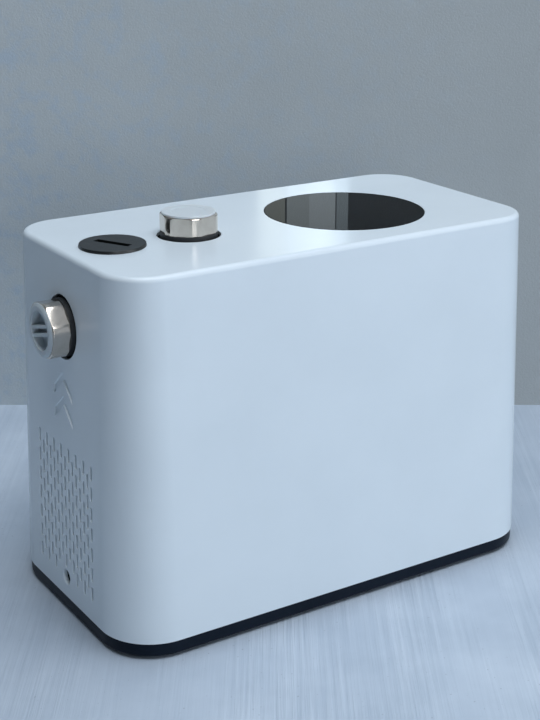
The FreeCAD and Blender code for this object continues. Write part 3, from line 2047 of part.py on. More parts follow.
publish(
    cut(
        fused(
            place(
                make_capsule(S.tank_radius, tank_span, S.tank_round),
                on_tank(S.tank_start),
                "x",
            ),
            cylinder(
                S.tank_neck,
                S.tank_neck_length + S.tank_wall,
                on_tank(S.tank_start - S.tank_neck_length),
                "x",
            ),
        ),
        place(
            make_capsule(
                S.tank_radius - S.tank_wall,
                tank_span - S.tank_wall * 2,
                S.tank_round - S.tank_wall,
            ),
            on_tank(S.tank_start + S.tank_wall),
            "x",
        ),
        cylinder(
            S.branch_bore + 1,
            S.tank_neck_length + S.tank_wall * 2,
            on_tank(S.tank_start - S.tank_neck_length),
            "x",
        ),
        cylinder(
            S.valve_stem + S.snug_gap,
            S.tank_wall * 3,
            on_tank(S.tank_end - S.tank_wall * 2),
            "x",
        ),
    ),
    "tank_shell",
)
membrane = S.tank_radius - S.tank_wall - S.snug_gap
dish = S.tank_wall * 2
publish(
    turned(
        [
            (0, 0),
            (membrane - dish * 2, 0),
            (membrane - dish, dish * 2),
            (membrane, dish * 2),
            (membrane, dish * 3),
            (membrane - dish * 1.5, dish * 3),
            (membrane - dish * 2.5, dish / 2),
            (0, dish / 2),
        ],
        on_tank((S.tank_start + S.tank_end) / 2),
        "x",
    ),
    "tank_diaphragm",
)
publish(
    turned(
        [
            (0, -S.tank_wall * 2),
            (S.valve_stem, -S.tank_wall * 2),
            (S.valve_stem, 0),
            (S.valve_stem * 1.8, 0),
            (S.valve_stem * 1.8, S.valve_stem * 2.5),
            (S.valve_stem, S.valve_stem * 3.5),
            (0, S.valve_stem * 3.5),
        ],
        on_tank(S.tank_end),
        "x",
    ),
    "tank_air_valve",
)

# Speed controller: heat sink, case, board, capacitor and power module
case_foot = S.controller_base + S.sink_thickness
case_length = S.controller_right - S.controller_left
case_width = S.controller_rear - S.controller_front
case_height = S.controller_top - case_foot
case_middle = (
    (S.controller_left + S.controller_right) / 2,
    (S.controller_front + S.controller_rear) / 2,
    case_foot,
)
board_z = case_foot + S.standoff
board_inset = S.case_wall + S.board_margin
standoff_points = [
    (x, y)
    for x in (
        S.controller_left + board_inset * 2,
        S.controller_right - board_inset * 2,
    )
    for y in (
        S.controller_front + board_inset * 2,
        S.controller_rear - board_inset * 2,
    )
]
sink_fin_top = S.controller_base + 1
publish(
    fused(
        box(
            (S.controller_left, S.controller_front, S.controller_base),
            (S.controller_right, S.controller_rear, case_foot),
        ),
        *[
            cylinder(S.case_wall * 1.4, S.standoff, (x, y, case_foot))
            for x, y in standoff_points
        ],
        *[
            box(
                (
                    S.controller_left + S.case_wall,
                    S.controller_rear - S.sink_fin_pitch * number - S.case_wall,
                    S.controller_base - S.sink_fin_height,
                ),
                (
                    S.controller_right - S.case_wall,
                    S.controller_rear - S.sink_fin_pitch * number,
                    sink_fin_top,
                ),
            )
            for number in range(4)
        ],
    ),
    "heat_sink",
)
case = new_body("Case")
sketch = new_sketch(case, "XY_Plane")
draw_rounded(sketch, case_length, case_width, S.case_corner)
pad(case, sketch, case_height)
sketch = new_sketch(case, "XY_Plane")
draw_rounded(
    sketch,
    case_length - S.case_wall * 2,
    case_width - S.case_wall * 2,
    S.case_corner - S.case_wall,
)
pocket(case, sketch, case_height - S.case_wall, backwards=True)
publish(place(case, case_middle), "controller_case")
publish(
    box(
        (
            S.controller_left + board_inset,
            S.controller_front + board_inset,
            board_z,
        ),
        (
            S.controller_right - board_inset,
            S.controller_rear - board_inset,
            board_z + S.board_thickness,
        ),
    ),
    "control_board",
)
part_x = S.controller_right - board_inset - S.capacitor_radius * 2
publish(
    cylinder(
        S.capacitor_radius,
        S.controller_top - S.case_wall - S.capacitor_room - board_z - S.board_thickness,
        (part_x, case_middle[1], board_z + S.board_thickness),
    ),
    "link_capacitor",
)
module_half = S.capacitor_radius
publish(
    box(
        (case_middle[0] - module_half * 2, case_middle[1] - module_half, case_foot),
        (case_middle[0], case_middle[1] + module_half, board_z),
    ),
    "power_module",
)

# Cable gland in the end away from the ports
gland_wall = end_wall(S.gland_height)
gland_tilt = S.gland_flats / math.sqrt(3) * lean + S.snug_gap
flange_x = gland_wall + gland_tilt
nut_x = flange_x + S.gland_flange
gland_outer = S.gland_thread + 1
gland_reach = S.gland_dome - S.gland_flange
seal_room = S.gland_seal_radius + S.snug_gap
seal_x = flange_x + S.case_wall


def in_gland(x):
    return (x, S.gland_y, S.gland_height)


publish(
    cut(
        fused(
            prism(S.gland_flats, S.gland_flange, in_gland(flange_x), "x"),
            cylinder(
                S.gland_thread,
                S.gland_tail + gland_tilt,
                in_gland(gland_wall - S.gland_tail),
                "x",
            ),
            cylinder(gland_outer, gland_reach, in_gland(nut_x), "x"),
        ),
        cylinder(
            S.cable_hole + 1,
            S.gland_tail + gland_tilt + S.gland_flange,
            in_gland(gland_wall - S.gland_tail),
            "x",
        ),
        cylinder(
            seal_room,
            S.gland_flange - S.case_wall + gland_reach,
            in_gland(seal_x),
            "x",
        ),
    ),
    "gland_body",
)
locknut_x = gland_wall - S.wall - gland_tilt - S.gland_flange
publish(
    cut(
        prism(S.gland_flats, S.gland_flange, in_gland(locknut_x), "x"),
        cylinder(
            S.gland_thread + S.snug_gap, S.gland_flange, in_gland(locknut_x), "x"
        ),
    ),
    "gland_locknut",
)
dome_radius = S.gland_flats / 2
publish(
    cut(
        turned(
            [
                (0, 0),
                (dome_radius, 0),
                (dome_radius, gland_reach),
                (dome_radius - 3, S.gland_dome),
                (0, S.gland_dome),
            ],
            in_gland(nut_x + S.snug_gap),
            "x",
        ),
        cylinder(
            gland_outer + S.snug_gap, gland_reach + 0.5, in_gland(nut_x), "x"
        ),
        cylinder(seal_room, S.gland_dome - S.case_wall, in_gland(nut_x), "x"),
        cylinder(S.cable_hole + 1, S.gland_dome + 1, in_gland(nut_x), "x"),
    ),
    "gland_nut",
)
publish(
    tube(
        S.gland_seal_radius,
        S.cable_hole,
        nut_x + S.gland_dome - S.case_wall - S.snug_gap - seal_x - S.snug_gap,
        in_gland(seal_x + S.snug_gap),
        "x",
    ),
    "gland_seal",
)

# Check every object, then write each piece to its own file
doc.recompute()
faulty = [
    f"{thing.Name} ({thing.Label})"
    for thing in doc.Objects
    if {"Invalid", "Error"} & set(thing.State)
]
faulty += [
    thing.Label
    for thing in published
    if thing.Shape.isNull() or not thing.Shape.isValid() or not thing.Shape.Solids
]
if faulty:
    raise SystemExit("These objects did not build: " + ", ".join(faulty))
os.makedirs("parts", exist_ok=True)
for thing in published:
    thing.Shape.exportStep(f"parts/{thing.Label}.step")
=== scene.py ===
"""Compact booster pump, dressed for its picture. Metres, in the frame of the CAD part."""
import json
import math

import bmesh
import bpy
from mathutils import Matrix, Vector


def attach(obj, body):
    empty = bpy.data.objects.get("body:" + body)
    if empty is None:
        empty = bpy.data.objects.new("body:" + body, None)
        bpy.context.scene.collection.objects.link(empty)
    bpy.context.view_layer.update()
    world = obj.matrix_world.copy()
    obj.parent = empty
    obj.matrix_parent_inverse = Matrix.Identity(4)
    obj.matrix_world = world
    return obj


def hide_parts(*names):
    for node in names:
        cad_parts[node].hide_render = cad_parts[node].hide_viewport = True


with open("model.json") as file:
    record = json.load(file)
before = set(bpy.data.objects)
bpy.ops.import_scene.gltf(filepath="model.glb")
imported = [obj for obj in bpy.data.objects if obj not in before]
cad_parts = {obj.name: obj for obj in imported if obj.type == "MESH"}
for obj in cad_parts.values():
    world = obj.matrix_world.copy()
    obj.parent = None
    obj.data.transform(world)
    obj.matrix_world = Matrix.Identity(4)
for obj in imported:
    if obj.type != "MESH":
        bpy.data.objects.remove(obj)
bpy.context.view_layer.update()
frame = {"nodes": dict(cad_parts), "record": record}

# Camera
# A short telephoto half a metre over the floor, held without roll, that looks down on the
# inlet end and the long front face.
camera_data = bpy.data.cameras.new("photo_camera")
camera_data.sensor_width = 36
camera_data.lens = 70.95
camera = bpy.data.objects.new("photo_camera", camera_data)
camera.location = (-0.5246, -0.8176, 0.5008)
look = Vector((0.5046, 0.7952, -0.3362))
camera.rotation_euler = look.to_track_quat("-Z", "Y").to_euler()
bpy.context.collection.objects.link(camera)
scene = bpy.context.scene
scene.camera = camera
scene.view_settings.view_transform = "Standard"

# Housing finish
# The hood is moulded in white plastic with a fine spark-eroded grain under a soft gloss.
# The node groups made here are shared by the finishes of all the other pieces.


class Graph:
    """Adds nodes to one tree. An input takes a number, a colour or another node's output."""

    def __init__(self, tree):
        self.tree = tree

    def add(self, kind, inputs=None, **settings):
        """A node with its settings made and its inputs set or linked."""
        node = self.tree.nodes.new(kind)
        for key, value in settings.items():
            setattr(node, key, value)
        self.fill(node, inputs or {})
        return node

    def fill(self, node, inputs):
        """Set or link the inputs of a node."""
        for key, value in inputs.items():
            if isinstance(value, bpy.types.NodeSocket):
                self.tree.links.new(value, node.inputs[key])
            else:
                node.inputs[key].default_value = value

    def place(self):
        """Where a point lies on its piece."""
        return self.add("ShaderNodeTexCoord").outputs["Object"]

    def stretched(self, vector, amounts):
        """A place multiplied along each axis, which draws a pattern out."""
        inputs = {0: vector, 1: amounts}
        return self.add("ShaderNodeVectorMath", inputs, operation="MULTIPLY").outputs[0]

    def along(self, vector, direction):
        """How far a place lies in a direction."""
        inputs = {0: vector, 1: direction}
        return self.add("ShaderNodeVectorMath", inputs, operation="DOT_PRODUCT").outputs["Value"]

    def noise(self, vector, scale, detail, roughness):
        """Cloudy noise between 0 and 1."""
        inputs = {"Vector": vector, "Scale": scale, "Detail": detail, "Roughness": roughness}
        return self.add("ShaderNodeTexNoise", inputs).outputs[0]

    def math(self, operation, first, second=0.0):
        """A sum, product or the like of two values."""
        return self.add("ShaderNodeMath", {0: first, 1: second}, operation=operation).outputs[0]

    def mapped(self, value, low, high, to_low, to_high):
        """A value moved from one range to another and held inside it."""
        names = ("Value", "From Min", "From Max", "To Min", "To Max")
        inputs = dict(zip(names, (value, low, high, to_low, to_high)))
        return self.add("ShaderNodeMapRange", inputs).outputs[0]

    def mix(self, factor, first, second):
        """The first colour, turning into the second as the factor rises."""
        inputs = {0: factor, 6: first, 7: second}
        return self.add("ShaderNodeMix", inputs, data_type="RGBA").outputs[2]

    def bump(self, height, depth):
        """A normal that makes a height between 0 and 1 look that deep, in metres."""
        inputs = {"Height": height, "Distance": depth, "Strength": 1.0}
        return self.add("ShaderNodeBump", inputs).outputs[0]


def effect(name, inputs, outputs):
    """An empty node group with its sockets, and the graph and input sockets to fill it with."""
    tree = bpy.data.node_groups.new(name, "ShaderNodeTree")
    for label, kind, value in inputs:
        socket = tree.interface.new_socket(label, in_out="INPUT", socket_type=kind)
        socket.default_value = value
    for label, kind in outputs:
        tree.interface.new_socket(label, in_out="OUTPUT", socket_type=kind)
    graph = Graph(tree)
    given = graph.add("NodeGroupInput").outputs
    return graph, given


COLOUR = "NodeSocketColor"
NUMBER = "NodeSocketFloat"
VECTOR = "NodeSocketVector"
FINISH_INPUTS = [
    ("Colour", COLOUR, (0.5, 0.5, 0.5, 1)),
    ("Second Colour", COLOUR, (0.4, 0.4, 0.4, 1)),
    ("Roughness", NUMBER, 0.4),
    ("Roughness Spread", NUMBER, 0.1),
    ("Depth", NUMBER, 0.0001),
]
FINISH_OUTPUTS = [("Colour", COLOUR), ("Roughness", NUMBER), ("Normal", VECTOR)]


def close_effect(graph, colour, roughness, normal):
    """Lead the results of a finish group to its outputs."""
    inputs = {"Colour": colour, "Roughness": roughness, "Normal": normal}
    graph.add("NodeGroupOutput", inputs)
    return graph.tree


def rough_range(graph, given, mask):
    """Roughness that rises by the spread where the mask is bright."""
    extra = graph.math("MULTIPLY", mask, given["Roughness Spread"])
    return graph.math("ADD", given["Roughness"], extra)


def make_grain():
    """Moulded or cast skin: fine relief, with a slow change of tone and gloss over it."""
    graph, given = effect("moulded_grain", FINISH_INPUTS + [("Scale", NUMBER, 1500.0)],
                          FINISH_OUTPUTS)
    place = graph.place()
    fine = graph.noise(place, given["Scale"], 4.0, 0.6)
    slow = graph.noise(place, 14.0, 3.0, 0.55)
    patch = graph.mapped(slow, 0.35, 0.65, 0.0, 1.0)
    tone = graph.math("ADD", graph.math("MULTIPLY", patch, 0.75),
                      graph.math("MULTIPLY", fine, 0.25))
    colour = graph.mix(tone, given["Colour"], given["Second Colour"])
    roughness = rough_range(graph, given, graph.noise(place, 60.0, 5.0, 0.6))
    return close_effect(graph, colour, roughness, graph.bump(fine, given["Depth"]))


GRAIN = make_grain()
FINISHES = {}


def finish(name, tree, colour, second, roughness, spread, depth, metallic=0.0, extra=None,
           surface=None):
    """A material whose colour, gloss and relief come from a finish group."""
    material = bpy.data.materials.new(name)
    material.use_nodes = True
    material.diffuse_color = (*colour, 1)
    graph = Graph(material.node_tree)
    values = {
        "Colour": (*colour, 1),
        "Second Colour": (*second, 1),
        "Roughness": roughness,
        "Roughness Spread": spread,
        "Depth": depth,
        **(extra or {}),
    }
    made = graph.add("ShaderNodeGroup", values, node_tree=tree).outputs
    shown = {
        "Base Color": made["Colour"],
        "Roughness": made["Roughness"],
        "Normal": made["Normal"],
        "Metallic": metallic,
        **(surface or {}),
    }
    graph.fill(material.node_tree.nodes["Principled BSDF"], shown)
    FINISHES[name] = material
    return material


housing_white = finish(
    "housing_white", GRAIN, (0.70, 0.78, 0.84), (0.73, 0.81, 0.87), 0.22, 0.04, 0.00002,
    extra={"Scale": 2600.0}, surface={"Coat Weight": 0.1, "Coat Roughness": 0.2},
)

# Housing shape
# One hood, 3 mm thick, its four sides drafted inwards so that it leaves the mould, with a
# rounded top edge. It is drawn in millimetres, then scaled, like every piece below.
MM = 0.001
SHELL_FOOT = 12
SHELL_HEIGHT = 247.5
SHELL_TOP = SHELL_FOOT + SHELL_HEIGHT
HALF_LENGTH = 173.75
HALF_WIDTH = 93.8
CORNER = 38.5
DRAFT = math.radians(1.967)
LEAN = math.tan(DRAFT)
TOP_EDGE = 3.6
WALL = 3
OUTLET = Vector((-73.5, -4.7, SHELL_TOP))
CAP = Vector((-130.3, -4.3, SHELL_TOP + 0.05))
DISPLAY = Vector((54, -5, SHELL_TOP))
INLET_HEIGHT = 209
GLAND_Y = 30
GLAND_HEIGHT = 185
SCREW_HEIGHT = 27.3
SCREW_SEAT = 163.2
BOSS_FLOOR = SCREW_SEAT - 2.5
# The inlet end and the end away from it, each as a lathe's axis and a sign.
ENDS = (("-x", -1), ("x", 1))


def end_wall(height):
    """How far the end wall's outside stands from the middle at a height over the floor."""
    return HALF_LENGTH - LEAN * (height - SHELL_FOOT)


def as_object(name, bm, material, scale=MM):
    """Turn a drawn mesh into an object, its faces pointing outwards."""
    bmesh.ops.recalc_face_normals(bm, faces=bm.faces)
    for vertex in bm.verts:
        vertex.co *= scale
    mesh = bpy.data.meshes.new(name)
    bm.to_mesh(mesh)
    bm.free()
    mesh.materials.append(material)
    made = bpy.data.objects.new(name, mesh)
    bpy.context.collection.objects.link(made)
    return made


def new_piece(name, bm, material, body="frame", sharp=30):
    """A piece that rides on a body, from a mesh drawn in millimetres."""
    piece = as_object(name, bm, material)
    piece.data.shade_smooth()
    piece.data.set_sharp_from_angle(angle=math.radians(sharp))
    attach(piece, body)
    return piece


def soften(points, radius):
    """Round the inner corners of a line of points. A corner takes up to 0.45 of its sides."""
    steps = 4
    softened = [Vector(points[0])]
    for before, corner, after in zip(points, points[1:], points[2:]):
        corner = Vector(corner)
        back = Vector(before) - corner
        ahead = Vector(after) - corner
        reach = min(radius, back.length * 0.45, ahead.length * 0.45)
        start = corner + back.normalized() * reach
        end = corner + ahead.normalized() * reach
        for step in range(steps + 1):
            t = step / steps
            softened.append(start * (1 - t) ** 2 + corner * (2 * t * (1 - t)) + end * t * t)
    softened.append(Vector(points[-1]))
    return softened


def rounded_outline(half_x, half_y, corner):
    """The points of a rectangle with rounded corners, anticlockwise from +X."""
    steps = 20
    points = []
    for side_x, side_y, start in ((1, 1, 0), (-1, 1, 90), (-1, -1, 180), (1, -1, 270)):
        for step in range(steps + 1):
            angle = math.radians(start + 90 * step / steps)
            x = side_x * (half_x - corner) + corner * math.cos(angle)
            y = side_y * (half_y - corner) + corner * math.sin(angle)
            points.append((x, y))
    return points


def skin(bm, rings, close="caps"):
    """Join rings of points into a surface, capped at its ends or closed to a loop."""
    rows = []
    for ring in rings:
        if len(ring) == 1:
            rows.append([bm.verts.new(ring[0])] * len(rings[1]))
        else:
            rows.append([bm.verts.new(point) for point in ring])
    pairs = list(zip(rows, rows[1:]))
    if close == "loop":
        pairs.append((rows[-1], rows[0]))
    for low, high in pairs:
        for index in range(len(low)):
            after = (index + 1) % len(low)
            corners = dict.fromkeys((low[index], low[after], high[after], high[index]))
            if len(corners) > 2:
                bm.faces.new(list(corners))
    if close == "caps":
        for row in (rows[0][::-1], rows[-1]):
            if row[0] != row[1]:
                bm.faces.new(row)


def outline_rings(section):
    """Rings round the unit from a section of (inset from the hood's foot outline, height)."""
    rings = []
    for inset, height in section:
        outline = rounded_outline(HALF_LENGTH - inset, HALF_WIDTH - inset, CORNER - inset)
        rings.append([(x, y, height) for x, y in outline])
    return rings


def hood_section(inset, edge):
    """Foot to top: the drafted wall and the rounded edge, as (inset, height)."""
    levels = 8
    edge_steps = 10
    side = inset / math.cos(DRAFT)
    centre_z = SHELL_HEIGHT - inset - edge
    rise = centre_z + edge * math.sin(DRAFT)
    section = []
    for level in range(levels):
        height = rise * level / levels
        section.append((side + LEAN * height, SHELL_FOOT + height))
    centre = side + LEAN * centre_z + edge / math.cos(DRAFT)
    for step in range(edge_steps + 1):
        angle = DRAFT + (math.pi / 2 - DRAFT) * step / edge_steps
        height = SHELL_FOOT + centre_z + edge * math.sin(angle)
        section.append((centre - edge * math.cos(angle), height))
    return section


AXES = {
    "z": Matrix(((1, 0, 0), (0, 1, 0), (0, 0, 1))),
    "x": Matrix(((0, 0, 1), (1, 0, 0), (0, 1, 0))),
    "-x": Matrix(((0, 0, -1), (1, 0, 0), (0, -1, 0))),
}


def lathe(bm, profile, at, along="z", steps=128, shape=None, close="caps", tilt=0.0):
    """Turn a profile of (radius, height) about an axis; shape may change the radius.

    Steps is how many points go round, or a list of their angles.
    """
    turn = AXES[along].to_4x4()
    turn = Matrix.Translation(Vector(at)) @ Matrix.Rotation(tilt, 4, "Y") @ turn
    angles = steps
    if isinstance(steps, int):
        angles = [2 * math.pi * step / steps for step in range(steps)]
    rings = []
    for radius, height in profile:
        ring = []
        for angle in angles:
            reach = shape(angle, radius, height) if shape else radius
            ring.append(turn @ Vector((reach * math.cos(angle), reach * math.sin(angle), height)))
        rings.append(ring[:1] if radius == 0 else ring)
    skin(bm, rings, close)


def combine(piece, tool_bm, operation):
    """Add a tool to a piece, or take it away, and keep the result as the piece's mesh."""
    tool = as_object("tool", tool_bm, piece.data.materials[0])
    change = piece.modifiers.new("change", "BOOLEAN")
    change.operation = operation
    change.solver = "EXACT"
    change.object = tool
    settle(piece)
    bpy.data.objects.remove(tool)


def settle(piece):
    """Take what the piece's modifiers make as its mesh, and remove them."""
    bpy.context.view_layer.update()
    result = bpy.data.meshes.new_from_object(
        piece.evaluated_get(bpy.context.evaluated_depsgraph_get())
    )
    piece.modifiers.clear()
    piece.data = result


def crisp(piece, angle=30):
    """Shade flat faces flat and curved faces smooth, by the size of the faces."""
    piece.data.shade_smooth()
    piece.data.set_sharp_from_angle(angle=math.radians(angle))
    weighted = piece.modifiers.new("weighted", "WEIGHTED_NORMAL")
    weighted.keep_sharp = True
    settle(piece)


hood_bm = bmesh.new()
inner = hood_section(WALL, TOP_EDGE - WALL)
outer = hood_section(0, TOP_EDGE)
skin(hood_bm, outline_rings(inner[::-1] + outer))
hood = new_piece("hood", hood_bm, housing_white)

# Inside, a ring thickens the top under the display and each end has a boss for its screw.
extra_bm = bmesh.new()
seat_ring = [(50, -6), (62, -6), (62, -WALL + 0.5), (50, -WALL + 0.5)]
lathe(extra_bm, seat_ring, DISPLAY, close="loop")
boss = [(0, 0), (6.7, 0), (6.7, 11), (0, 11)]
for along, side in ENDS:
    lathe(extra_bm, boss, (side * BOSS_FLOOR, 0, SCREW_HEIGHT), along, 48)
combine(hood, extra_bm, "UNION")

# Openings in the hood
# The seat and window of the display, the holes of the ports, cap and gland and the sunken
# screw seats all have a small rounded mouth, as moulded openings do.
PORT_HOLE = 21.65
GLAND_HOLE = 8.2
DISPLAY_SEAT = 57.75
DISPLAY_SIGHT = 52
SCREW_WELL = 5.2
SCREW_HOLE = 2.2


def mouth_cutter(bm, radius, at, along="z", tilt=0.0, mouth=0.5, steps=128):
    """Cut a hole whose rounded mouth runs out of the wall's surface at a shallow angle."""
    profile = [(0, 2), (radius + mouth + 0.4, 2), (radius + mouth + 0.3, 0.05)]
    for degrees in (15, 40, 65, 90):
        angle = math.radians(degrees)
        profile.append((radius + mouth * (1 - math.sin(angle)), mouth * (math.cos(angle) - 1)))
    profile += [(radius, -8), (0, -8)]
    lathe(bm, profile, at, along, steps, tilt=tilt)


holes_bm = bmesh.new()
seat = [(0, 2)]
for wider, height in ((0.65, 2), (0.55, 0.05), (0.2, -0.04), (0.05, -0.15), (0, -0.35), (0, -3)):
    seat.append((DISPLAY_SEAT + wider, height))
seat += [(DISPLAY_SIGHT + 0.3, -3), (DISPLAY_SIGHT, -3.3), (DISPLAY_SIGHT, -9), (0, -9)]
lathe(holes_bm, seat, DISPLAY, steps=192)
mouth_cutter(holes_bm, PORT_HOLE, OUTLET)
mouth_cutter(holes_bm, PORT_HOLE, (CAP.x, CAP.y, SHELL_TOP), mouth=0.3)
inlet_wall = end_wall(INLET_HEIGHT)
mouth_cutter(holes_bm, PORT_HOLE, (-inlet_wall, 0, INLET_HEIGHT), "-x", tilt=DRAFT)
gland_wall = end_wall(GLAND_HEIGHT)
gland_at = (gland_wall, GLAND_Y, GLAND_HEIGHT)
mouth_cutter(holes_bm, GLAND_HOLE, gland_at, "x", tilt=-DRAFT, steps=64)
screw_wall = end_wall(SCREW_HEIGHT)
drop = screw_wall - SCREW_SEAT
well = [(0, 2), (6.2, 2), (6.1, 0.35), (5.5, -0.3), (5.25, -0.6), (SCREW_WELL, -1),
        (SCREW_WELL, -drop), (SCREW_HOLE, -drop), (SCREW_HOLE, -drop - 4), (0, -drop - 4)]
for along, side in ENDS:
    lathe(holes_bm, well, (side * screw_wall, 0, SCREW_HEIGHT), along, 64)
combine(hood, holes_bm, "DIFFERENCE")

# Vent slots and flow arrows
# Upright slots with rounded ends stand in two sets of columns, half a row apart, in both
# ends. They cool the motor. Two pressed arrowheads under the inlet show the flow.
SLOT_WIDTH = 2.7
SLOT_LENGTH = 10
COLUMN_PITCH = 11.66
ROW_PITCH = 14.6
SLOT_TOP = SHELL_FOOT + 112.8


def slot_cutter(side):
    """A bar with rounded ends and a flared mouth, leaning with the wall of that end."""
    points = 16
    bm = bmesh.new()
    rings = []
    for grow, depth in ((0.55, -1.5), (0.5, -0.12), (0.1, 0.2), (0, 0.5), (0, 5)):
        half = SLOT_WIDTH / 2 + grow
        straight = SLOT_LENGTH / 2 - SLOT_WIDTH / 2
        ring = []
        for step in range(points):
            angle = math.pi * 2 * step / points + math.pi / points
            y = half * math.cos(angle)
            z = half * math.sin(angle) + math.copysign(straight, math.sin(angle))
            ring.append((side * (-depth - LEAN * z), y, z))
        rings.append(ring)
    skin(bm, rings)
    return as_object("slot", bm, housing_white, scale=1)


def make_field_nodes():
    """Geometry nodes that repeat one object in columns and rows."""
    tree = bpy.data.node_groups.new("slot_field", "GeometryNodeTree")
    sockets = {}
    for label, kind in (
        ("Object", "NodeSocketObject"),
        ("First", VECTOR),
        ("Column Step", VECTOR),
        ("Row Step", VECTOR),
        ("Columns", "NodeSocketInt"),
        ("Rows", "NodeSocketInt"),
        ("Material", "NodeSocketMaterial"),
    ):
        item = tree.interface.new_socket(label, in_out="INPUT", socket_type=kind)
        sockets[label] = item.identifier
    tree.interface.new_socket("Geometry", in_out="OUTPUT", socket_type="NodeSocketGeometry")
    graph = Graph(tree)
    given = graph.add("NodeGroupInput").outputs
    shape = graph.add("GeometryNodeObjectInfo", {"Object": given["Object"]}).outputs["Geometry"]
    start = given["First"]
    for count, step in (("Columns", "Column Step"), ("Rows", "Row Step")):
        line = graph.add(
            "GeometryNodeMeshLine",
            {"Count": given[count], "Start Location": start, "Offset": given[step]},
        ).outputs[0]
        placed = graph.add("GeometryNodeInstanceOnPoints", {"Points": line, "Instance": shape})
        shape = placed.outputs[0]
        start = (0, 0, 0)
    solid = graph.add("GeometryNodeRealizeInstances", {0: shape}).outputs[0]
    dressed = graph.add("GeometryNodeSetMaterial", {0: solid, "Material": given["Material"]})
    graph.add("NodeGroupOutput", {0: dressed.outputs[0]})
    return tree, sockets


field_nodes, field_sockets = make_field_nodes()


def slot_field(bm, side, start_y, top, columns, rows):
    """Add a field of slot cutters to a mesh, in millimetres."""
    cutter = slot_cutter(side)
    carrier = bpy.data.objects.new("field", bpy.data.meshes.new("field"))
    bpy.context.collection.objects.link(carrier)
    middle = top - SLOT_LENGTH / 2
    maker = carrier.modifiers.new("field", "NODES")
    maker.node_group = field_nodes
    values = {
        "Object": cutter,
        "First": (side * end_wall(middle), start_y, middle),
        "Column Step": (0, COLUMN_PITCH, 0),
        "Row Step": (side * LEAN * ROW_PITCH, 0, -ROW_PITCH),
        "Columns": columns,
        "Rows": rows,
        "Material": housing_white,
    }
    for label, value in values.items():
        maker[field_sockets[label]] = value
    settle(carrier)
    bm.from_mesh(carrier.data)
    bpy.data.objects.remove(carrier)
    bpy.data.objects.remove(cutter)


# Eight columns and the seven between them have six rows. A short row under them has three
# slots on either side of the screw.
first_y = -COLUMN_PITCH * 3.5
last_top = SLOT_TOP - ROW_PITCH * 6
for side in (-1, 1):
    vents_bm = bmesh.new()
    slot_field(vents_bm, side, first_y, SLOT_TOP, 8, 6)
    slot_field(vents_bm, side, first_y + COLUMN_PITCH / 2, SLOT_TOP - ROW_PITCH / 2, 7, 6)
    slot_field(vents_bm, side, first_y, last_top, 3, 1)
    slot_field(vents_bm, side, -first_y - COLUMN_PITCH * 2, last_top, 3, 1)
    combine(hood, vents_bm, "DIFFERENCE")

ARROW = [(0, 0), (-14.2, -12.5), (-14.2, -6.3), (0, 6.2), (14.2, -6.3), (14.2, -12.5)]
ARROW_HEIGHT = SHELL_FOOT + 159.4
ARROW_PITCH = 17
ARROW_Y = 0.5


def grown(outline, amount):
    """Move the sides of a closed outline outwards by an amount."""
    points = [Vector(point) for point in outline]
    moved = []
    for before, point, after in zip(points[-1:] + points, points, points[1:] + points[:1]):
        first = (point - before).normalized()
        second = (after - point).normalized()
        first_out = Vector((-first.y, first.x))
        second_out = Vector((-second.y, second.x))
        moved.append(point + (first_out + second_out) * amount / (1 + first_out @ second_out))
    return moved


arrows_bm = bmesh.new()
for number in range(2):
    height = ARROW_HEIGHT - ARROW_PITCH * number
    rings = []
    for depth, amount in ((-1.5, 0.35), (-0.1, 0.35), (0.1, 0.1), (1.1, -0.25)):
        ring = []
        for point in grown(ARROW, amount):
            z = height + point.y
            ring.append((depth - end_wall(z), ARROW_Y - point.x, z))
        rings.append(ring)
    skin(arrows_bm, rings)
combine(hood, arrows_bm, "DIFFERENCE")
crisp(hood, 25)
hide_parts("housing_shell")

# Base tray
# A dark moulded tray with a rounded bottom edge. Its rim stands inside the hood, four posts
# carry the rubber mounts, and a lug at each end takes the screw from the hood. A thin dark
# sleeve lines each sunken screw seat behind the hood's wall: painted shade, a dark lining put
# where the deep part of the well lies in shadow.
base_dark = finish(
    "base_dark", GRAIN, (0.002, 0.006, 0.014), (0.003, 0.008, 0.018), 0.34, 0.14, 0.00004,
    extra={"Scale": 1800.0}, surface={"Specular IOR Level": 0.15},
)
TRAY_INSET = 0.6
TRAY_UNDERSIDE = 2
TRAY_FLOOR = 6
TRAY_EDGE = 2
RIM_OUTSIDE = WALL + 0.7
RIM_INSIDE = 6.2
RIM_TOP = 20
GROOVE_INSET = TRAY_INSET + 9
GROOVE_WIDTH = 7
GROOVE_TOP = 3.5
tray_section = [
    (GROOVE_INSET + GROOVE_WIDTH, TRAY_UNDERSIDE),
    (GROOVE_INSET + GROOVE_WIDTH, GROOVE_TOP),
    (GROOVE_INSET, GROOVE_TOP),
    (GROOVE_INSET, TRAY_UNDERSIDE),
]
for step in range(7):
    angle = math.pi / 2 * step / 6
    inset = TRAY_INSET + TRAY_EDGE * (1 - math.sin(angle))
    tray_section.append((inset, TRAY_UNDERSIDE + TRAY_EDGE * (1 - math.cos(angle))))
tray_section += soften(
    [(TRAY_INSET, 4.5), (TRAY_INSET, SHELL_FOOT), (RIM_OUTSIDE, SHELL_FOOT),
     (RIM_OUTSIDE, RIM_TOP), (RIM_INSIDE, RIM_TOP), (RIM_INSIDE, TRAY_FLOOR), (16, TRAY_FLOOR)],
    0.6
)[1:]
tray_bm = bmesh.new()
skin(tray_bm, outline_rings(tray_section))
post = soften([(0, 5), (11.5, 5), (11.5, 6), (10, 7), (10, 16), (0, 16)], 0.8)
for x in (-120, 80):
    for y in (-36, 36):
        lathe(tray_bm, post, (x, y, 0), steps=64)
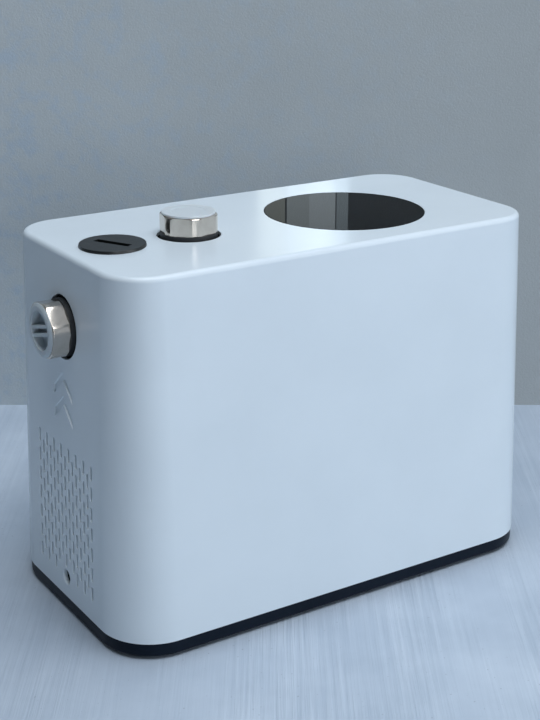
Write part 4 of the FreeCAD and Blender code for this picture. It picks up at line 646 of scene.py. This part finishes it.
for along, side in ENDS:
    rings = []
    for height, inset in ((5, 0), (34.8, 0), (35.3, 0.5)):
        back = side * (BOSS_FLOOR - 8 + inset)
        front = side * (BOSS_FLOOR - inset)
        y = 9 - inset
        rings.append([(back, -y, height), (front, -y, height), (front, y, height),
                      (back, y, height)])
    skin(tray_bm, rings)
    # Painted shade: a thin dark lining inside each screw well, beyond the hood's wall, where the
    # well is in shadow.
    shade_sleeve = [(4.9, 0.2), (5.15, 0.2), (5.15, 7.2), (4.9, 7.2)]
    lathe(tray_bm, shade_sleeve, (side * SCREW_SEAT, 0, SCREW_HEIGHT), along, 48, close="loop")
tray = new_piece("tray", tray_bm, base_dark)
crisp(tray)
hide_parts("base_tray")

# Foot strip
# A rubber strip, on which the unit rests. It is moulded as one closed ring and pressed into
# a groove under the tray.
rubber_grey = finish(
    "rubber_grey", GRAIN, (0.030, 0.032, 0.035), (0.055, 0.058, 0.060), 0.75, 0.15, 0.0001,
    extra={"Scale": 900.0},
)
strip_outside = GROOVE_INSET + 0.05
strip_inside = GROOVE_INSET + GROOVE_WIDTH - 0.05
strip_middle = GROOVE_INSET + GROOVE_WIDTH / 2
strip = soften(
    [(strip_middle, 0), (strip_outside, 0), (strip_outside, GROOVE_TOP),
     (strip_inside, GROOVE_TOP), (strip_inside, 0), (strip_middle + 0.1, 0)], 0.7
)
strip_bm = bmesh.new()
skin(strip_bm, outline_rings(strip), "loop")
foot_strip = new_piece("foot_strip_rubber", strip_bm, rubber_grey)
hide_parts("foot_strip")

# Port sockets
# Bushes of nickel-plated brass with a hexagon head, turned, milled and polished, then
# screwed onto the manifold's necks. The thread inside is a one-inch parallel pipe thread.


def make_polish():
    """Polished or ground metal: very fine turning lines, small stains and soft scratches."""
    graph, given = effect("polished_metal", FINISH_INPUTS + [("Stretch", VECTOR, (1, 1, 1))],
                          FINISH_OUTPUTS)
    place = graph.place()
    lines = graph.noise(graph.stretched(place, given["Stretch"]), 1200.0, 3.0, 0.6)
    stain = graph.mapped(graph.noise(place, 90.0, 4.0, 0.6), 0.4, 0.7, 0.0, 1.0)
    colour = graph.mix(stain, given["Colour"], given["Second Colour"])
    mask = graph.math("ADD", graph.math("MULTIPLY", stain, 0.6),
                      graph.math("MULTIPLY", lines, 0.4))
    roughness = rough_range(graph, given, mask)
    return close_effect(graph, colour, roughness, graph.bump(lines, given["Depth"]))


POLISH = make_polish()
port_nickel = finish(
    "port_nickel", POLISH, (0.74, 0.66, 0.58), (0.64, 0.57, 0.49), 0.10, 0.12, 0.000003,
    metallic=1.0, extra={"Stretch": (0.2, 0.2, 2.0)},
)
HEAD = 12.3
HEAD_GAP = 2.3
HEAD_RADIUS = 19.72
FLATS = 36.4
MOUTH_RADIUS = 16.8
NECK_RADIUS = 17.5
NECK_END = -19
THREAD_START = 3.3
THREAD_PITCH = 2.309
THREAD_CREST = 15.145
THREAD_DEPTH = 1.25
# Marks that a profile adds to a radius where a shape function is to change it.
HEXAGON = 100
THREADED = 200


def socket_shape(turn):
    """Cuts the flats of the hexagon and the thread where a radius carries their marks."""
    power = 600

    def shape(angle, radius, height):
        if radius > THREADED:
            wave = (height / THREAD_PITCH - angle / (2 * math.pi)) % 1
            fade = min(1, (THREAD_START - height) / 2, (height - NECK_END) / 2)
            return radius - THREADED + THREAD_DEPTH * fade * (1 - abs(2 * wave - 1))
        if radius > HEXAGON:
            from_flat = (angle - turn + math.pi / 6) % (math.pi / 3) - math.pi / 6
            turned = radius - HEXAGON
            share = turned * math.cos(from_flat) / (FLATS / 2)
            return turned * (1 + share ** power) ** (-1 / power)
        return radius

    return shape


def socket_angles(turn):
    """Points round a head, with one on each edge between a flat and the turned part."""
    edge = math.acos(FLATS / 2 / HEAD_RADIUS)
    angles = []
    for side in range(6):
        flat = turn + side * math.pi / 3
        angles += [flat + edge * (step / 6 - 1) for step in range(12)]
        angles += [flat + edge + (math.pi / 3 - edge * 2) * step / 4 for step in range(4)]
    return angles


def socket_profile():
    """Head, mouth, thread and neck, as (radius, height) from the head's underside."""
    head = []
    for radius, height in (
        (19.0, 0.0), (19.55, 0.35), (HEAD_RADIUS, 0.8), (HEAD_RADIUS, 5.0),
        (HEAD_RADIUS, HEAD - 0.6), (19.66, HEAD - 0.45), (19.3, HEAD - 0.08), (19.15, HEAD),
    ):
        head.append((HEXAGON + radius, height))
    mouth = soften(
        [(17.4, HEAD), (MOUTH_RADIUS, HEAD), (MOUTH_RADIUS, THREAD_START),
         (THREAD_CREST, THREAD_START)], 0.5
    )[1:]
    top = THREAD_START - 0.1
    length = top - (NECK_END + 0.1)
    thread = [(THREADED + THREAD_CREST, top - length * step / 90) for step in range(91)]
    neck = soften(
        [(THREAD_CREST, NECK_END), (NECK_RADIUS, NECK_END), (NECK_RADIUS, 0), (19, 0)], 0.4
    )[:-1]
    return head + [tuple(p) for p in mouth] + thread + [tuple(p) for p in neck]


inlet_head = Vector((-(inlet_wall + HEAD_GAP), 0, INLET_HEIGHT))
outlet_head = Vector((OUTLET.x, OUTLET.y, SHELL_TOP + HEAD_GAP))
for name, at, along, degrees in (
    ("inlet_socket", inlet_head, "-x", 41),
    ("outlet_socket", outlet_head, "z", -15),
):
    turn = math.radians(degrees)
    bm = bmesh.new()
    lathe(bm, socket_profile(), at, along, socket_angles(turn), socket_shape(turn), "loop")
    piece = new_piece(name + "_bush", bm, port_nickel, sharp=14)
    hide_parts(name)

# Transit plugs
# Push-in plugs of pale grey polyethylene that keep dirt out of the ports until the pipes
# are fitted. The inlet's is an open cup with two ribs, the outlet's a closed disc.
plug_inlet_grey = finish(
    "plug_inlet_grey", GRAIN, (0.52, 0.57, 0.60), (0.60, 0.65, 0.68), 0.38, 0.12, 0.00003,
    extra={"Scale": 1500.0}, surface={"Subsurface Weight": 0.05},
)
plug_outlet_grey = finish(
    "plug_outlet_grey", GRAIN, (0.60, 0.64, 0.67), (0.66, 0.70, 0.73), 0.30, 0.12, 0.00003,
    extra={"Scale": 1500.0}, surface={"Subsurface Weight": 0.05},
)
FLANGE = 18.2
FLANGE_TOP = 1.6
SKIRT = 16.7
SKIRT_END = -8
CUP_HOLLOW = 13.2
CUP_FLOOR = -4.9
DISC_HOLLOW = 13.6
PLUG_HEIGHT = HEAD + 0.05
RIB_ROLL = math.radians(-16)
cup = soften(
    [(0, SKIRT_END), (SKIRT, SKIRT_END), (SKIRT, 0), (FLANGE, 0), (FLANGE, 0.5),
     (16, FLANGE_TOP), (CUP_HOLLOW, FLANGE_TOP), (CUP_HOLLOW, CUP_FLOOR), (0, CUP_FLOOR)], 0.5
)
disc = soften(
    [(0, 0), (DISC_HOLLOW, 0), (DISC_HOLLOW, SKIRT_END), (SKIRT, SKIRT_END), (SKIRT, 0),
     (FLANGE, 0), (FLANGE, FLANGE_TOP), (12, FLANGE_TOP), (11.4, 1.35), (0, 1.35)], 0.5
)
inlet_plug_at = inlet_head - Vector((PLUG_HEIGHT, 0, 0))
outlet_plug_at = outlet_head + Vector((0, 0, PLUG_HEIGHT))
plug_bm = bmesh.new()
lathe(plug_bm, cup, inlet_plug_at, "-x")
roll = Matrix.Rotation(RIB_ROLL, 3, "X")
for side in (-1, 1):
    rings = []
    for height, shrink in ((-5.2, 0), (0.8, 0), (1.1, 0.12), (1.2, 0.4)):
        low = 1.5 + shrink
        high = 3.9 - shrink
        ring = []
        for y, z in ((-14, low), (14, low), (14, high), (-14, high)):
            ring.append(inlet_plug_at + roll @ Vector((-height, y, side * z)))
        rings.append(ring)
    skin(plug_bm, rings)
inlet_plug = new_piece("inlet_plug_cup", plug_bm, plug_inlet_grey, "inlet_plug")
crisp(inlet_plug, 40)
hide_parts("inlet_plug")
plug_bm = bmesh.new()
lathe(plug_bm, disc, outlet_plug_at)
outlet_plug = new_piece("outlet_plug_disc", plug_bm, plug_outlet_grey, "outlet_plug")
crisp(outlet_plug, 40)
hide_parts("outlet_plug")

# Port rings
# Black rubber rings that close the gap between the hood and the two necks, with a lip
# behind the wall that holds them in.
rubber_black = finish(
    "rubber_black", GRAIN, (0.002, 0.002, 0.003), (0.003, 0.004, 0.005), 0.62, 0.2, 0.00006,
    extra={"Scale": 1200.0}, surface={"Specular IOR Level": 0.06},
)
RING_BORE = 19.7
RING_OUTSIDE = PORT_HOLE - 0.1
RING_LIP = 25
RING_SUNK = 2
for name, at, along, slope in (
    ("inlet_grommet", (-inlet_wall, 0, INLET_HEIGHT), "-x", LEAN),
    ("outlet_grommet", OUTLET, "z", 0),
):
    lip = -(WALL + RING_LIP * slope + 0.05)
    face = -(RING_SUNK + PORT_HOLE * slope)
    section = [(RING_BORE, lip - 1), (RING_BORE, lip - 2), (RING_LIP, lip - 2), (RING_LIP, lip),
               (RING_OUTSIDE, lip), (RING_OUTSIDE, face), (RING_BORE, face),
               (RING_BORE, lip - 0.9)]
    bm = bmesh.new()
    lathe(bm, soften(section, 0.6), at, along, close="loop")
    piece = new_piece(name + "_ring", bm, rubber_black)
    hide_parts(name)

# Priming cap
# A nearly black screw cap with a slot for a coin, over the filling hole. It is moulded in
# one piece, hollow from below, with a groove round its thread for the seal ring.
cap_grey = finish(
    "cap_grey", GRAIN, (0.003, 0.004, 0.004), (0.007, 0.009, 0.009), 0.28, 0.20, 0.00004,
    extra={"Scale": 1100.0}, surface={"Specular IOR Level": 0.60},
)
CAP_RIM = 22.4
CAP_TOP = 2.0
CAP_THREAD = 16.5
CAP_HOLLOW = 12.5
CAP_END = -14
CAP_GROOVE = CAP_THREAD - 2.4
COIN_HALF_LENGTH = 13.75
COIN_HALF_WIDTH = 2.6
COIN_TURN = math.radians(-62)
cap_profile = soften(
    [(0, -6), (CAP_HOLLOW, -6), (CAP_HOLLOW, CAP_END), (CAP_THREAD, CAP_END),
     (CAP_THREAD, -10.3), (CAP_GROOVE, -10.3), (CAP_GROOVE, -7.7), (CAP_THREAD, -7.7),
     (CAP_THREAD, 0), (CAP_RIM, 0), (CAP_RIM - 0.4, CAP_TOP), (0, CAP_TOP)], 0.25
)
cap_bm = bmesh.new()
lathe(cap_bm, cap_profile, CAP, steps=160)
cap = new_piece("priming_cap_body", cap_bm, cap_grey, "cap")
slot_bm = bmesh.new()
turn = Matrix.Rotation(COIN_TURN, 3, "Z")
rings = []
for height, grow in ((3, 0.2), (2.1, 0.2), (1.85, 0), (-2.4, 0), (-2.6, 0.2)):
    x = COIN_HALF_LENGTH + grow
    y = COIN_HALF_WIDTH + grow
    corners = ((x, y, height), (-x, y, height), (-x, -y, height), (x, -y, height))
    rings.append([CAP + turn @ Vector(corner) for corner in corners])
skin(slot_bm, rings)
combine(cap, slot_bm, "DIFFERENCE")
crisp(cap)
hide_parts("priming_cap")

# Display window
# A disc of dark tinted glass with a ground edge, glued into its seat flush with the top.
# The display shines through it when the pump runs; here it is off.


def make_glass_skin():
    """Smooth glass: a nearly even tint, with faint wiped smears in its gloss."""
    graph, given = effect("glass_skin", FINISH_INPUTS, FINISH_OUTPUTS)
    place = graph.place()
    smear = graph.noise(graph.stretched(place, (1, 3, 1)), 22.0, 5.0, 0.65)
    mask = graph.mapped(smear, 0.5, 0.8, 0.0, 1.0)
    colour = graph.mix(mask, given["Colour"], given["Second Colour"])
    wave = graph.noise(place, 9.0, 1.0, 0.4)
    roughness = rough_range(graph, given, mask)
    return close_effect(graph, colour, roughness, graph.bump(wave, given["Depth"]))


GLASS = make_glass_skin()
display_glass = finish(
    "display_glass", GLASS, (0.001, 0.001, 0.001), (0.004, 0.004, 0.004), 0.03, 0.04, 0.00002,
    surface={"IOR": 1.074},
)
PANE = DISPLAY_SEAT - 0.2
glass_bm = bmesh.new()
pane = soften([(0, -3), (PANE, -3), (PANE, -0.3), (PANE - 0.3, 0), (0, 0)], 0.15)
lathe(glass_bm, pane, DISPLAY, steps=192)
glass = new_piece("display_window", glass_bm, display_glass)
crisp(glass, 20)
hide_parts("display_glass")

# End screws
# Zinc-plated pan-head screws, one at the bottom of each sunken seat. They hold the hood to
# the tray's lugs. Their cross recess is cold-formed.
zinc_steel = finish(
    "zinc_steel", POLISH, (0.50, 0.51, 0.53), (0.42, 0.43, 0.42), 0.28, 0.2, 0.000006,
    metallic=1.0, extra={"Stretch": (2.0, 0.3, 0.3)},
)
SCREW_PROFILE = [(0, -9), (2, -9), (2, 0), (4, 0), (4, 1.4), (3.4, 2.4), (1.2, 3), (0, 3)]
RECESS_HALF = 0.45
screw_bm = bmesh.new()
for along, side in ENDS:
    seat_at = (side * SCREW_SEAT, 0, SCREW_HEIGHT)
    lathe(screw_bm, soften(SCREW_PROFILE, 0.5), seat_at, along, 48)
screws = new_piece("end_screws", screw_bm, zinc_steel)
recess_bm = bmesh.new()
for side in (-1, 1):
    rings = []
    for depth, reach in ((1.2, 1.2), (4, 2.4)):
        x = side * (SCREW_SEAT + depth)
        half = RECESS_HALF
        cross = [(half, half), (half, reach), (-half, reach), (-half, half), (-reach, half),
                 (-reach, -half), (-half, -half), (-half, -reach), (half, -reach),
                 (half, -half), (reach, -half), (reach, half)]
        rings.append([(x, y, SCREW_HEIGHT + z) for y, z in cross])
    skin(recess_bm, rings)
combine(screws, recess_bm, "DIFFERENCE")
crisp(screws)
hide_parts("case_screws")

# Cable gland
# A black nylon gland for the mains cable in the end away from the ports: a hexagon flange
# against the wall and a ribbed dome nut that squeezes the seal onto the cable.
gland_black = finish(
    "gland_black", GRAIN, (0.014, 0.015, 0.017), (0.024, 0.025, 0.028), 0.45, 0.12, 0.00005,
    extra={"Scale": 1300.0},
)
GLAND_FLATS = 22
GLAND_FLANGE = 5
RIBBED = 100
flange_x = gland_wall + GLAND_FLATS / math.sqrt(3) * LEAN + 0.05


def gland_shape(angle, radius, height):
    """Cuts the flats of the flange where the radius carries the hexagon's mark."""
    power = 80
    if radius < HEXAGON:
        return radius
    total = sum(
        max(0, math.cos(angle - math.pi / 6 - k * math.pi / 3)) ** power for k in range(6)
    )
    return min(GLAND_FLATS / 2 * total ** (-1 / power), radius - HEXAGON)


body_profile = [
    (HEXAGON + 11.8, 0), (HEXAGON + 12.4, 0.5), (HEXAGON + 12.4, GLAND_FLANGE - 0.5),
    (HEXAGON + 11.8, GLAND_FLANGE), (9.0, 5.05), (9.0, 14), (6.55, 14), (6.55, 2.5), (5, 2.5),
    (5, -14.4), (8, -14.4), (8, -0.05),
]
gland_bm = bmesh.new()
lathe(gland_bm, body_profile, (flange_x, GLAND_Y, GLAND_HEIGHT), "x", 144, gland_shape, "loop")
gland_body = new_piece("gland_body_hexagon", gland_bm, gland_black)
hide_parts("gland_body")


def ribbed(angle, radius, height):
    """Cuts the dome nut's twelve grip grooves where the radius carries their mark."""
    if radius < RIBBED:
        return radius
    return radius - RIBBED - 0.7 * max(0, math.cos(12 * angle)) ** 2


dome = [(RIBBED + 9.2, 0), (RIBBED + 11, 0.4), (RIBBED + 11, 5), (RIBBED + 11, 9),
        (RIBBED + 10.6, 10.5), (RIBBED + 9.6, 12.2), (7.9, 13.6), (7.0, 14), (5.2, 14),
        (5, 13.8), (5, 11.5), (6.55, 11.5), (6.55, 9.5), (9.05, 9.5), (9.05, 0)]
nut_at = (flange_x + GLAND_FLANGE + 0.05, GLAND_Y, GLAND_HEIGHT)
nut_bm = bmesh.new()
lathe(nut_bm, dome, nut_at, "x", 144, ribbed, "loop")
gland_nut = new_piece("gland_dome_nut", nut_bm, gland_black)
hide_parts("gland_nut")

# Pump parts
# The casing and cover are glass-filled plastic, the diffusers, impellers and valve parts are
# plain moulded plastic, and the shaft, its nut and the valve spring are stainless steel. The
# shaft seal runs carbon on ceramic. Drain plug, sensor and air valve are brass.


def dress(slot_name):
    """Give a finish to the CAD nodes of its slot that no piece stands for."""
    material = FINISHES[slot_name]
    for subpart in frame["record"]["subparts"]:
        if subpart["material_slot"] == slot_name:
            node = frame["nodes"][subpart["node"]]
            node.data.materials.clear()
            node.data.materials.append(material)


for name, colour, second, roughness, scale, depth in (
    ("manifold_black", (0.010, 0.012, 0.014), (0.022, 0.024, 0.027), 0.45, 1000.0, 0.00008),
    ("casing_composite", (0.035, 0.040, 0.045), (0.060, 0.065, 0.070), 0.60, 700.0, 0.0002),
    ("cover_composite", (0.045, 0.050, 0.055), (0.075, 0.080, 0.085), 0.58, 700.0, 0.0002),
    ("diffuser_white", (0.66, 0.67, 0.64), (0.74, 0.75, 0.72), 0.42, 1200.0, 0.00006),
    ("impeller_ivory", (0.62, 0.57, 0.45), (0.72, 0.67, 0.55), 0.45, 1200.0, 0.00006),
    ("valve_white", (0.70, 0.70, 0.68), (0.78, 0.78, 0.76), 0.35, 1400.0, 0.00004),
):
    finish(name, GRAIN, colour, second, roughness, 0.12, depth, extra={"Scale": scale})
finish("stainless", POLISH, (0.60, 0.60, 0.60), (0.48, 0.47, 0.46), 0.22, 0.18, 0.000008,
       metallic=1.0, extra={"Stretch": (3.0, 0.2, 0.2)})
finish("seal_carbon", POLISH, (0.020, 0.020, 0.021), (0.035, 0.035, 0.036), 0.35, 0.2, 0.000004,
       extra={"Stretch": (3.0, 0.4, 0.4)})
finish("seal_ceramic", POLISH, (0.78, 0.76, 0.70), (0.70, 0.67, 0.60), 0.12, 0.1, 0.000002,
       extra={"Stretch": (1.0, 0.5, 0.5)}, surface={"Coat Weight": 0.3})
finish("brass_parts", POLISH, (0.62, 0.43, 0.17), (0.45, 0.28, 0.10), 0.25, 0.22, 0.000008,
       metallic=1.0, extra={"Stretch": (2.0, 0.3, 0.3)})

# Motor and heat sink
# Cast aluminium with the grain of the mould, ground bearing rings, stacks of electrical
# sheet, enamelled copper coils and a sintered magnet ring on the rotor.


def make_layers():
    """Bands across one axis, such as stacked sheets or laid wire, under a broken tone."""
    inputs = FINISH_INPUTS + [("Axis", VECTOR, (1, 0, 0)), ("Pitch", NUMBER, 0.0005)]
    graph, given = effect("layered_stack", inputs, FINISH_OUTPUTS)
    place = graph.place()
    phase = graph.math("DIVIDE", graph.along(place, given["Axis"]), given["Pitch"])
    wave = graph.math("SINE", graph.math("MULTIPLY", phase, 2 * math.pi))
    band = graph.mapped(wave, -1, 1, 0.0, 1.0)
    slow = graph.noise(place, 70.0, 4.0, 0.6)
    tone = graph.math("ADD", graph.math("MULTIPLY", band, 0.5),
                      graph.math("MULTIPLY", slow, 0.5))
    colour = graph.mix(tone, given["Second Colour"], given["Colour"])
    roughness = rough_range(graph, given, slow)
    return close_effect(graph, colour, roughness, graph.bump(band, given["Depth"]))


LAYERS = make_layers()
finish("motor_aluminium", GRAIN, (0.50, 0.51, 0.52), (0.38, 0.39, 0.40), 0.42, 0.2, 0.0003,
       metallic=0.9, extra={"Scale": 500.0})
finish("bearing_steel", POLISH, (0.62, 0.62, 0.62), (0.50, 0.50, 0.50), 0.12, 0.15, 0.000003,
       metallic=1.0, extra={"Stretch": (3.0, 0.2, 0.2)})
finish("lamination", LAYERS, (0.22, 0.22, 0.23), (0.09, 0.09, 0.10), 0.45, 0.2, 0.00005,
       metallic=0.7, extra={"Axis": (1, 0, 0), "Pitch": 0.0005})
finish("copper_wire", LAYERS, (0.55, 0.21, 0.09), (0.25, 0.08, 0.03), 0.30, 0.15, 0.0002,
       metallic=0.6, extra={"Axis": (0.0, 0.7, 0.7), "Pitch": 0.0009},
       surface={"Coat Weight": 0.4, "Coat Roughness": 0.2})
finish("magnet_dark", POLISH, (0.10, 0.10, 0.11), (0.06, 0.06, 0.065), 0.35, 0.2, 0.000008,
       metallic=0.8, extra={"Stretch": (1.0, 0.4, 0.4)})

# Pressure tank
# A small steel tank with a rubber diaphragm. Its two halves are pressed and joined, then
# painted blue, which leaves the slight orange peel of a sprayed and baked coat.
finish("tank_blue", GRAIN, (0.020, 0.070, 0.210), (0.030, 0.090, 0.250), 0.30, 0.12, 0.00015,
       extra={"Scale": 420.0}, surface={"Coat Weight": 0.5, "Coat Roughness": 0.08})

# Electronics
# Boards of green laminate with copper tracks under the mask, dark moulded cases, and the
# glossier black of the capacitor's shrunk sleeve and of the power module.


def make_tracks():
    """A printed board: solder mask over a maze of copper tracks and small round pads."""
    inputs = FINISH_INPUTS + [("Copper", COLOUR, (0.30, 0.42, 0.14, 1))]
    graph, given = effect("printed_tracks", inputs, FINISH_OUTPUTS)
    place = graph.place()
    cells = graph.add(
        "ShaderNodeTexVoronoi", {"Vector": place, "Scale": 170.0, "Randomness": 0.35},
        feature="DISTANCE_TO_EDGE", distance="EUCLIDEAN",
    ).outputs["Distance"]
    track = graph.mapped(cells, 0.05, 0.08, 1.0, 0.0)
    pads = graph.add(
        "ShaderNodeTexVoronoi", {"Vector": place, "Scale": 230.0, "Randomness": 0.7}
    ).outputs["Distance"]
    pad = graph.mapped(pads, 0.12, 0.18, 1.0, 0.0)
    mask = graph.math("MAXIMUM", graph.math("MULTIPLY", track, 0.7), pad)
    slow = graph.noise(place, 60.0, 3.0, 0.5)
    base = graph.mix(slow, given["Colour"], given["Second Colour"])
    colour = graph.mix(mask, base, given["Copper"])
    roughness = rough_range(graph, given, slow)
    return close_effect(graph, colour, roughness, graph.bump(mask, given["Depth"]))


TRACKS = make_tracks()
finish("circuit_board", TRACKS, (0.008, 0.085, 0.040), (0.012, 0.120, 0.060), 0.30, 0.15,
       0.00004, surface={"Coat Weight": 0.3})
finish("case_black", GRAIN, (0.015, 0.016, 0.018), (0.028, 0.029, 0.032), 0.48, 0.14, 0.00008,
       extra={"Scale": 1000.0})
finish("capacitor_black", GRAIN, (0.010, 0.010, 0.020), (0.020, 0.020, 0.034), 0.22, 0.12,
       0.00002, extra={"Scale": 900.0}, surface={"Coat Weight": 0.3})
for slot_name in FINISHES:
    dress(slot_name)

# Floor and wall
# The unit stands on pale washed boards before a plain blue-grey plastered wall. Neither
# belongs to the object. Distances run along the floor from below the camera.
WALL_DISTANCE = 1.274
away = Vector((look.x, look.y, 0)).normalized()
sideways = Vector((away.y, -away.x, 0))
foot = Vector((camera.location.x, camera.location.y, 0))
wall_at = foot + away * WALL_DISTANCE


def sheet(name, middle, half, sweep, material):
    """A flat sheet outside the object, swept from a line of a given middle and half."""
    corners = (middle - half, middle + half, middle + half + sweep, middle - half + sweep)
    mesh = bpy.data.meshes.new(name)
    mesh.from_pydata([tuple(corner) for corner in corners], [], [(0, 1, 2, 3)])
    mesh.materials.append(material)
    plane = bpy.data.objects.new(name, mesh)
    bpy.context.collection.objects.link(plane)


def stage_material(name):
    """A new material for the room, with its graph and its shader."""
    material = bpy.data.materials.new(name)
    material.use_nodes = True
    return material, Graph(material.node_tree), material.node_tree.nodes["Principled BSDF"]


# Brush strokes run towards the wall, in bundles. The boards are darkened with painted shade along
# a line from the near left to the far right, where the far and right masks agree.
floor_paint, graph, shader = stage_material("floor_paint")
place = graph.place()
grain_turn = {"Vector": place, "Angle": math.atan2(-sideways.y, sideways.x)}
turned = graph.add("ShaderNodeVectorRotate", grain_turn, rotation_type="Z_AXIS").outputs[0]
strokes = graph.noise(graph.stretched(turned, (260.0, 5.0, 1.0)), 1.0, 4.0, 0.65)
bundles = graph.noise(graph.stretched(turned, (16.0, 2.0, 1.0)), 1.0, 3.0, 0.6)
strokes = graph.math(
    "MULTIPLY", graph.math("SUBTRACT", strokes, 0.5), graph.mapped(bundles, 0.4, 0.65, 0.1, 1.0)
)
clouds = graph.noise(place, 9.0, 4.0, 0.6)
tone = graph.math("ADD", strokes, graph.math("MULTIPLY", clouds, 0.8))
tone = graph.mapped(tone, 0.25, 0.60, 0.0, 1.0)
colour = graph.mix(tone, (0.45, 0.53, 0.63, 1), (0.60, 0.68, 0.78, 1))
far = graph.mapped(graph.along(place, away), -0.30, 0.20, 0.0, 1.0)
right = graph.mapped(graph.along(place, sideways), -0.30, 0.25, 0.0, 1.0)
paler = graph.math("ABSOLUTE", graph.math("SUBTRACT", far, right))
# Painted shade: the floor is made darker at the near left and far right, where the far and right
# masks agree.
painted_shade = graph.mapped(paler, 0.0, 0.7, 0.34, 0.0)
colour = graph.mix(painted_shade, colour, (0.28, 0.34, 0.42, 1))
specks = graph.mapped(graph.noise(place, 420.0, 2.0, 0.5), 0.71, 0.74, 0.0, 0.55)
colour = graph.mix(specks, colour, (0.20, 0.25, 0.32, 1))
relief = graph.bump(strokes, 0.0012)
graph.fill(shader, {"Base Color": colour, "Roughness": 0.55, "Normal": relief})
sheet("floor", wall_at - away * 6, sideways * 5, away * 10, floor_paint)

# The plaster is painted paler at the lower left, painted light that lifts the unit's shadow
# there, with blue blotches on the left. From behind, the wall is seen through.
wall_paint, graph, shader = stage_material("wall_paint")
place = graph.place()
height = graph.add("ShaderNodeSeparateXYZ", {0: place}).outputs[2]
left = graph.mapped(graph.along(place, sideways), -0.26, 0.22, 1.0, 0.0)
low = graph.mapped(height, 0.38, 0.0, 0.55, 1.0)
# Painted light: the lower left of the wall is made paler, where the unit's shadow falls.
painted_light_low_left = graph.math("MULTIPLY", left, low)
grey = graph.mix(painted_light_low_left, (0.40, 0.43, 0.44, 1), (0.60, 0.66, 0.69, 1))
blotches = graph.noise(place, 62.0, 5.0, 0.62)
blotches = graph.mapped(blotches, 0.48, 0.66, 0.0, 1.0)
blue = graph.math("MULTIPLY", blotches, graph.math("MULTIPLY", left, 0.34))
colour = graph.mix(blue, grey, (0.34, 0.50, 0.70, 1))
weave = graph.noise(place, 600.0, 3.0, 0.6)
clouds = graph.noise(place, 9.0, 4.0, 0.6)
shade = graph.mapped(graph.math("ADD", weave, clouds), 0.7, 1.3, 0.0, 0.16)
colour = graph.mix(shade, colour, (0.20, 0.22, 0.23, 1))
relief = graph.bump(weave, 0.0004)
graph.fill(shader, {"Base Color": colour, "Roughness": 0.8, "Normal": relief})
facing = graph.add("ShaderNodeNewGeometry").outputs["Backfacing"]
clear = graph.add("ShaderNodeBsdfTransparent").outputs[0]
seen = graph.add("ShaderNodeMixShader", {0: facing, 1: shader.outputs[0], 2: clear}).outputs[0]
graph.fill(graph.tree.nodes["Material Output"], {"Surface": seen})
sheet("wall", wall_at, sideways * 3, Vector((0, 0, 2.6)), wall_paint)

# Light
# Soft daylight: one window to the right of the camera and one behind it, a wide glow from
# above and a dim high window on the right, whose mirror image lights the upper face of the
# inlet's hexagon.


def area_light(name, at, target, size, watts, colour):
    """A rectangular lamp of (width, height) that faces a target."""
    data = bpy.data.lights.new(name, "AREA")
    data.shape = "RECTANGLE"
    data.size, data.size_y = size
    data.energy = watts
    data.color = colour
    light = bpy.data.objects.new(name, data)
    light.location = at
    light.rotation_euler = (Vector(target) - Vector(at)).to_track_quat("-Z", "Y").to_euler()
    bpy.context.collection.objects.link(light)
    return light


DAYLIGHT = (0.90, 0.96, 1.03)
area_light("side_window", (1.2, -1.9, 0.47), (0, 0, 0.05), (1.4, 0.8), 11, DAYLIGHT)
area_light("front_window", (-0.5, -2.2, 0.47), (0, 0, 0.05), (1.0, 0.8), 7, DAYLIGHT)
area_light("ceiling", (0.05, -0.5, 2.2), (0, 0, 0.12), (1.7, 1.7), 38.5, DAYLIGHT)
area_light("high_window", (1.5, -0.95, 2.0), (-0.17, 0, 0.2), (1.1, 1.4), 4.4, DAYLIGHT)

# Dim panels behind the unit, not seen by the camera itself, whose mirror images are the grey
# fields on the left half of the display window and the sheen on the left of the top.
# Each has its two edges, sideways from the line of sight, and its colour.
PANEL_DISTANCE = 1.2
PANEL_OVER_FLOOR = 0.345
PANEL_HEIGHT = 0.13
PANELS = (
    (-0.01, 0.013, (0.76, 0.83, 0.76)),
    (0.0145, 0.034, (1.02, 1.18, 1.24)),
    (0.034, 0.0565, (1.30, 1.50, 1.62)),
    (0.0575, 0.0675, (0.74, 0.90, 1.00)),
)
panel_line = foot + away * PANEL_DISTANCE + Vector((0, 0, PANEL_OVER_FLOOR))
for number, (start, end, glow) in enumerate(PANELS):
    width = end - start
    middle = panel_line + sideways * (start + width / 2)
    size = (width, PANEL_HEIGHT)
    watts = math.pi * width * PANEL_HEIGHT
    panel = area_light("panel_%d" % number, middle, middle - away, size, watts, glow)
    panel.visible_camera = False

# The room itself glows a little, more from the side of the windows.
world = bpy.data.worlds.new("room")
scene.world = world
world.use_nodes = True
graph = Graph(world.node_tree)
direction = graph.add("ShaderNodeTexCoord").outputs["Generated"]
toward = graph.along(direction, (0.55, -0.75, 0.25))
amount = graph.mapped(toward, -0.7, 0.9, 0.0, 1.0)
colour = graph.mix(amount, (0.20, 0.24, 0.27, 1), (0.72, 0.80, 0.88, 1))
graph.fill(world.node_tree.nodes["Background"], {"Color": colour, "Strength": 0.10})
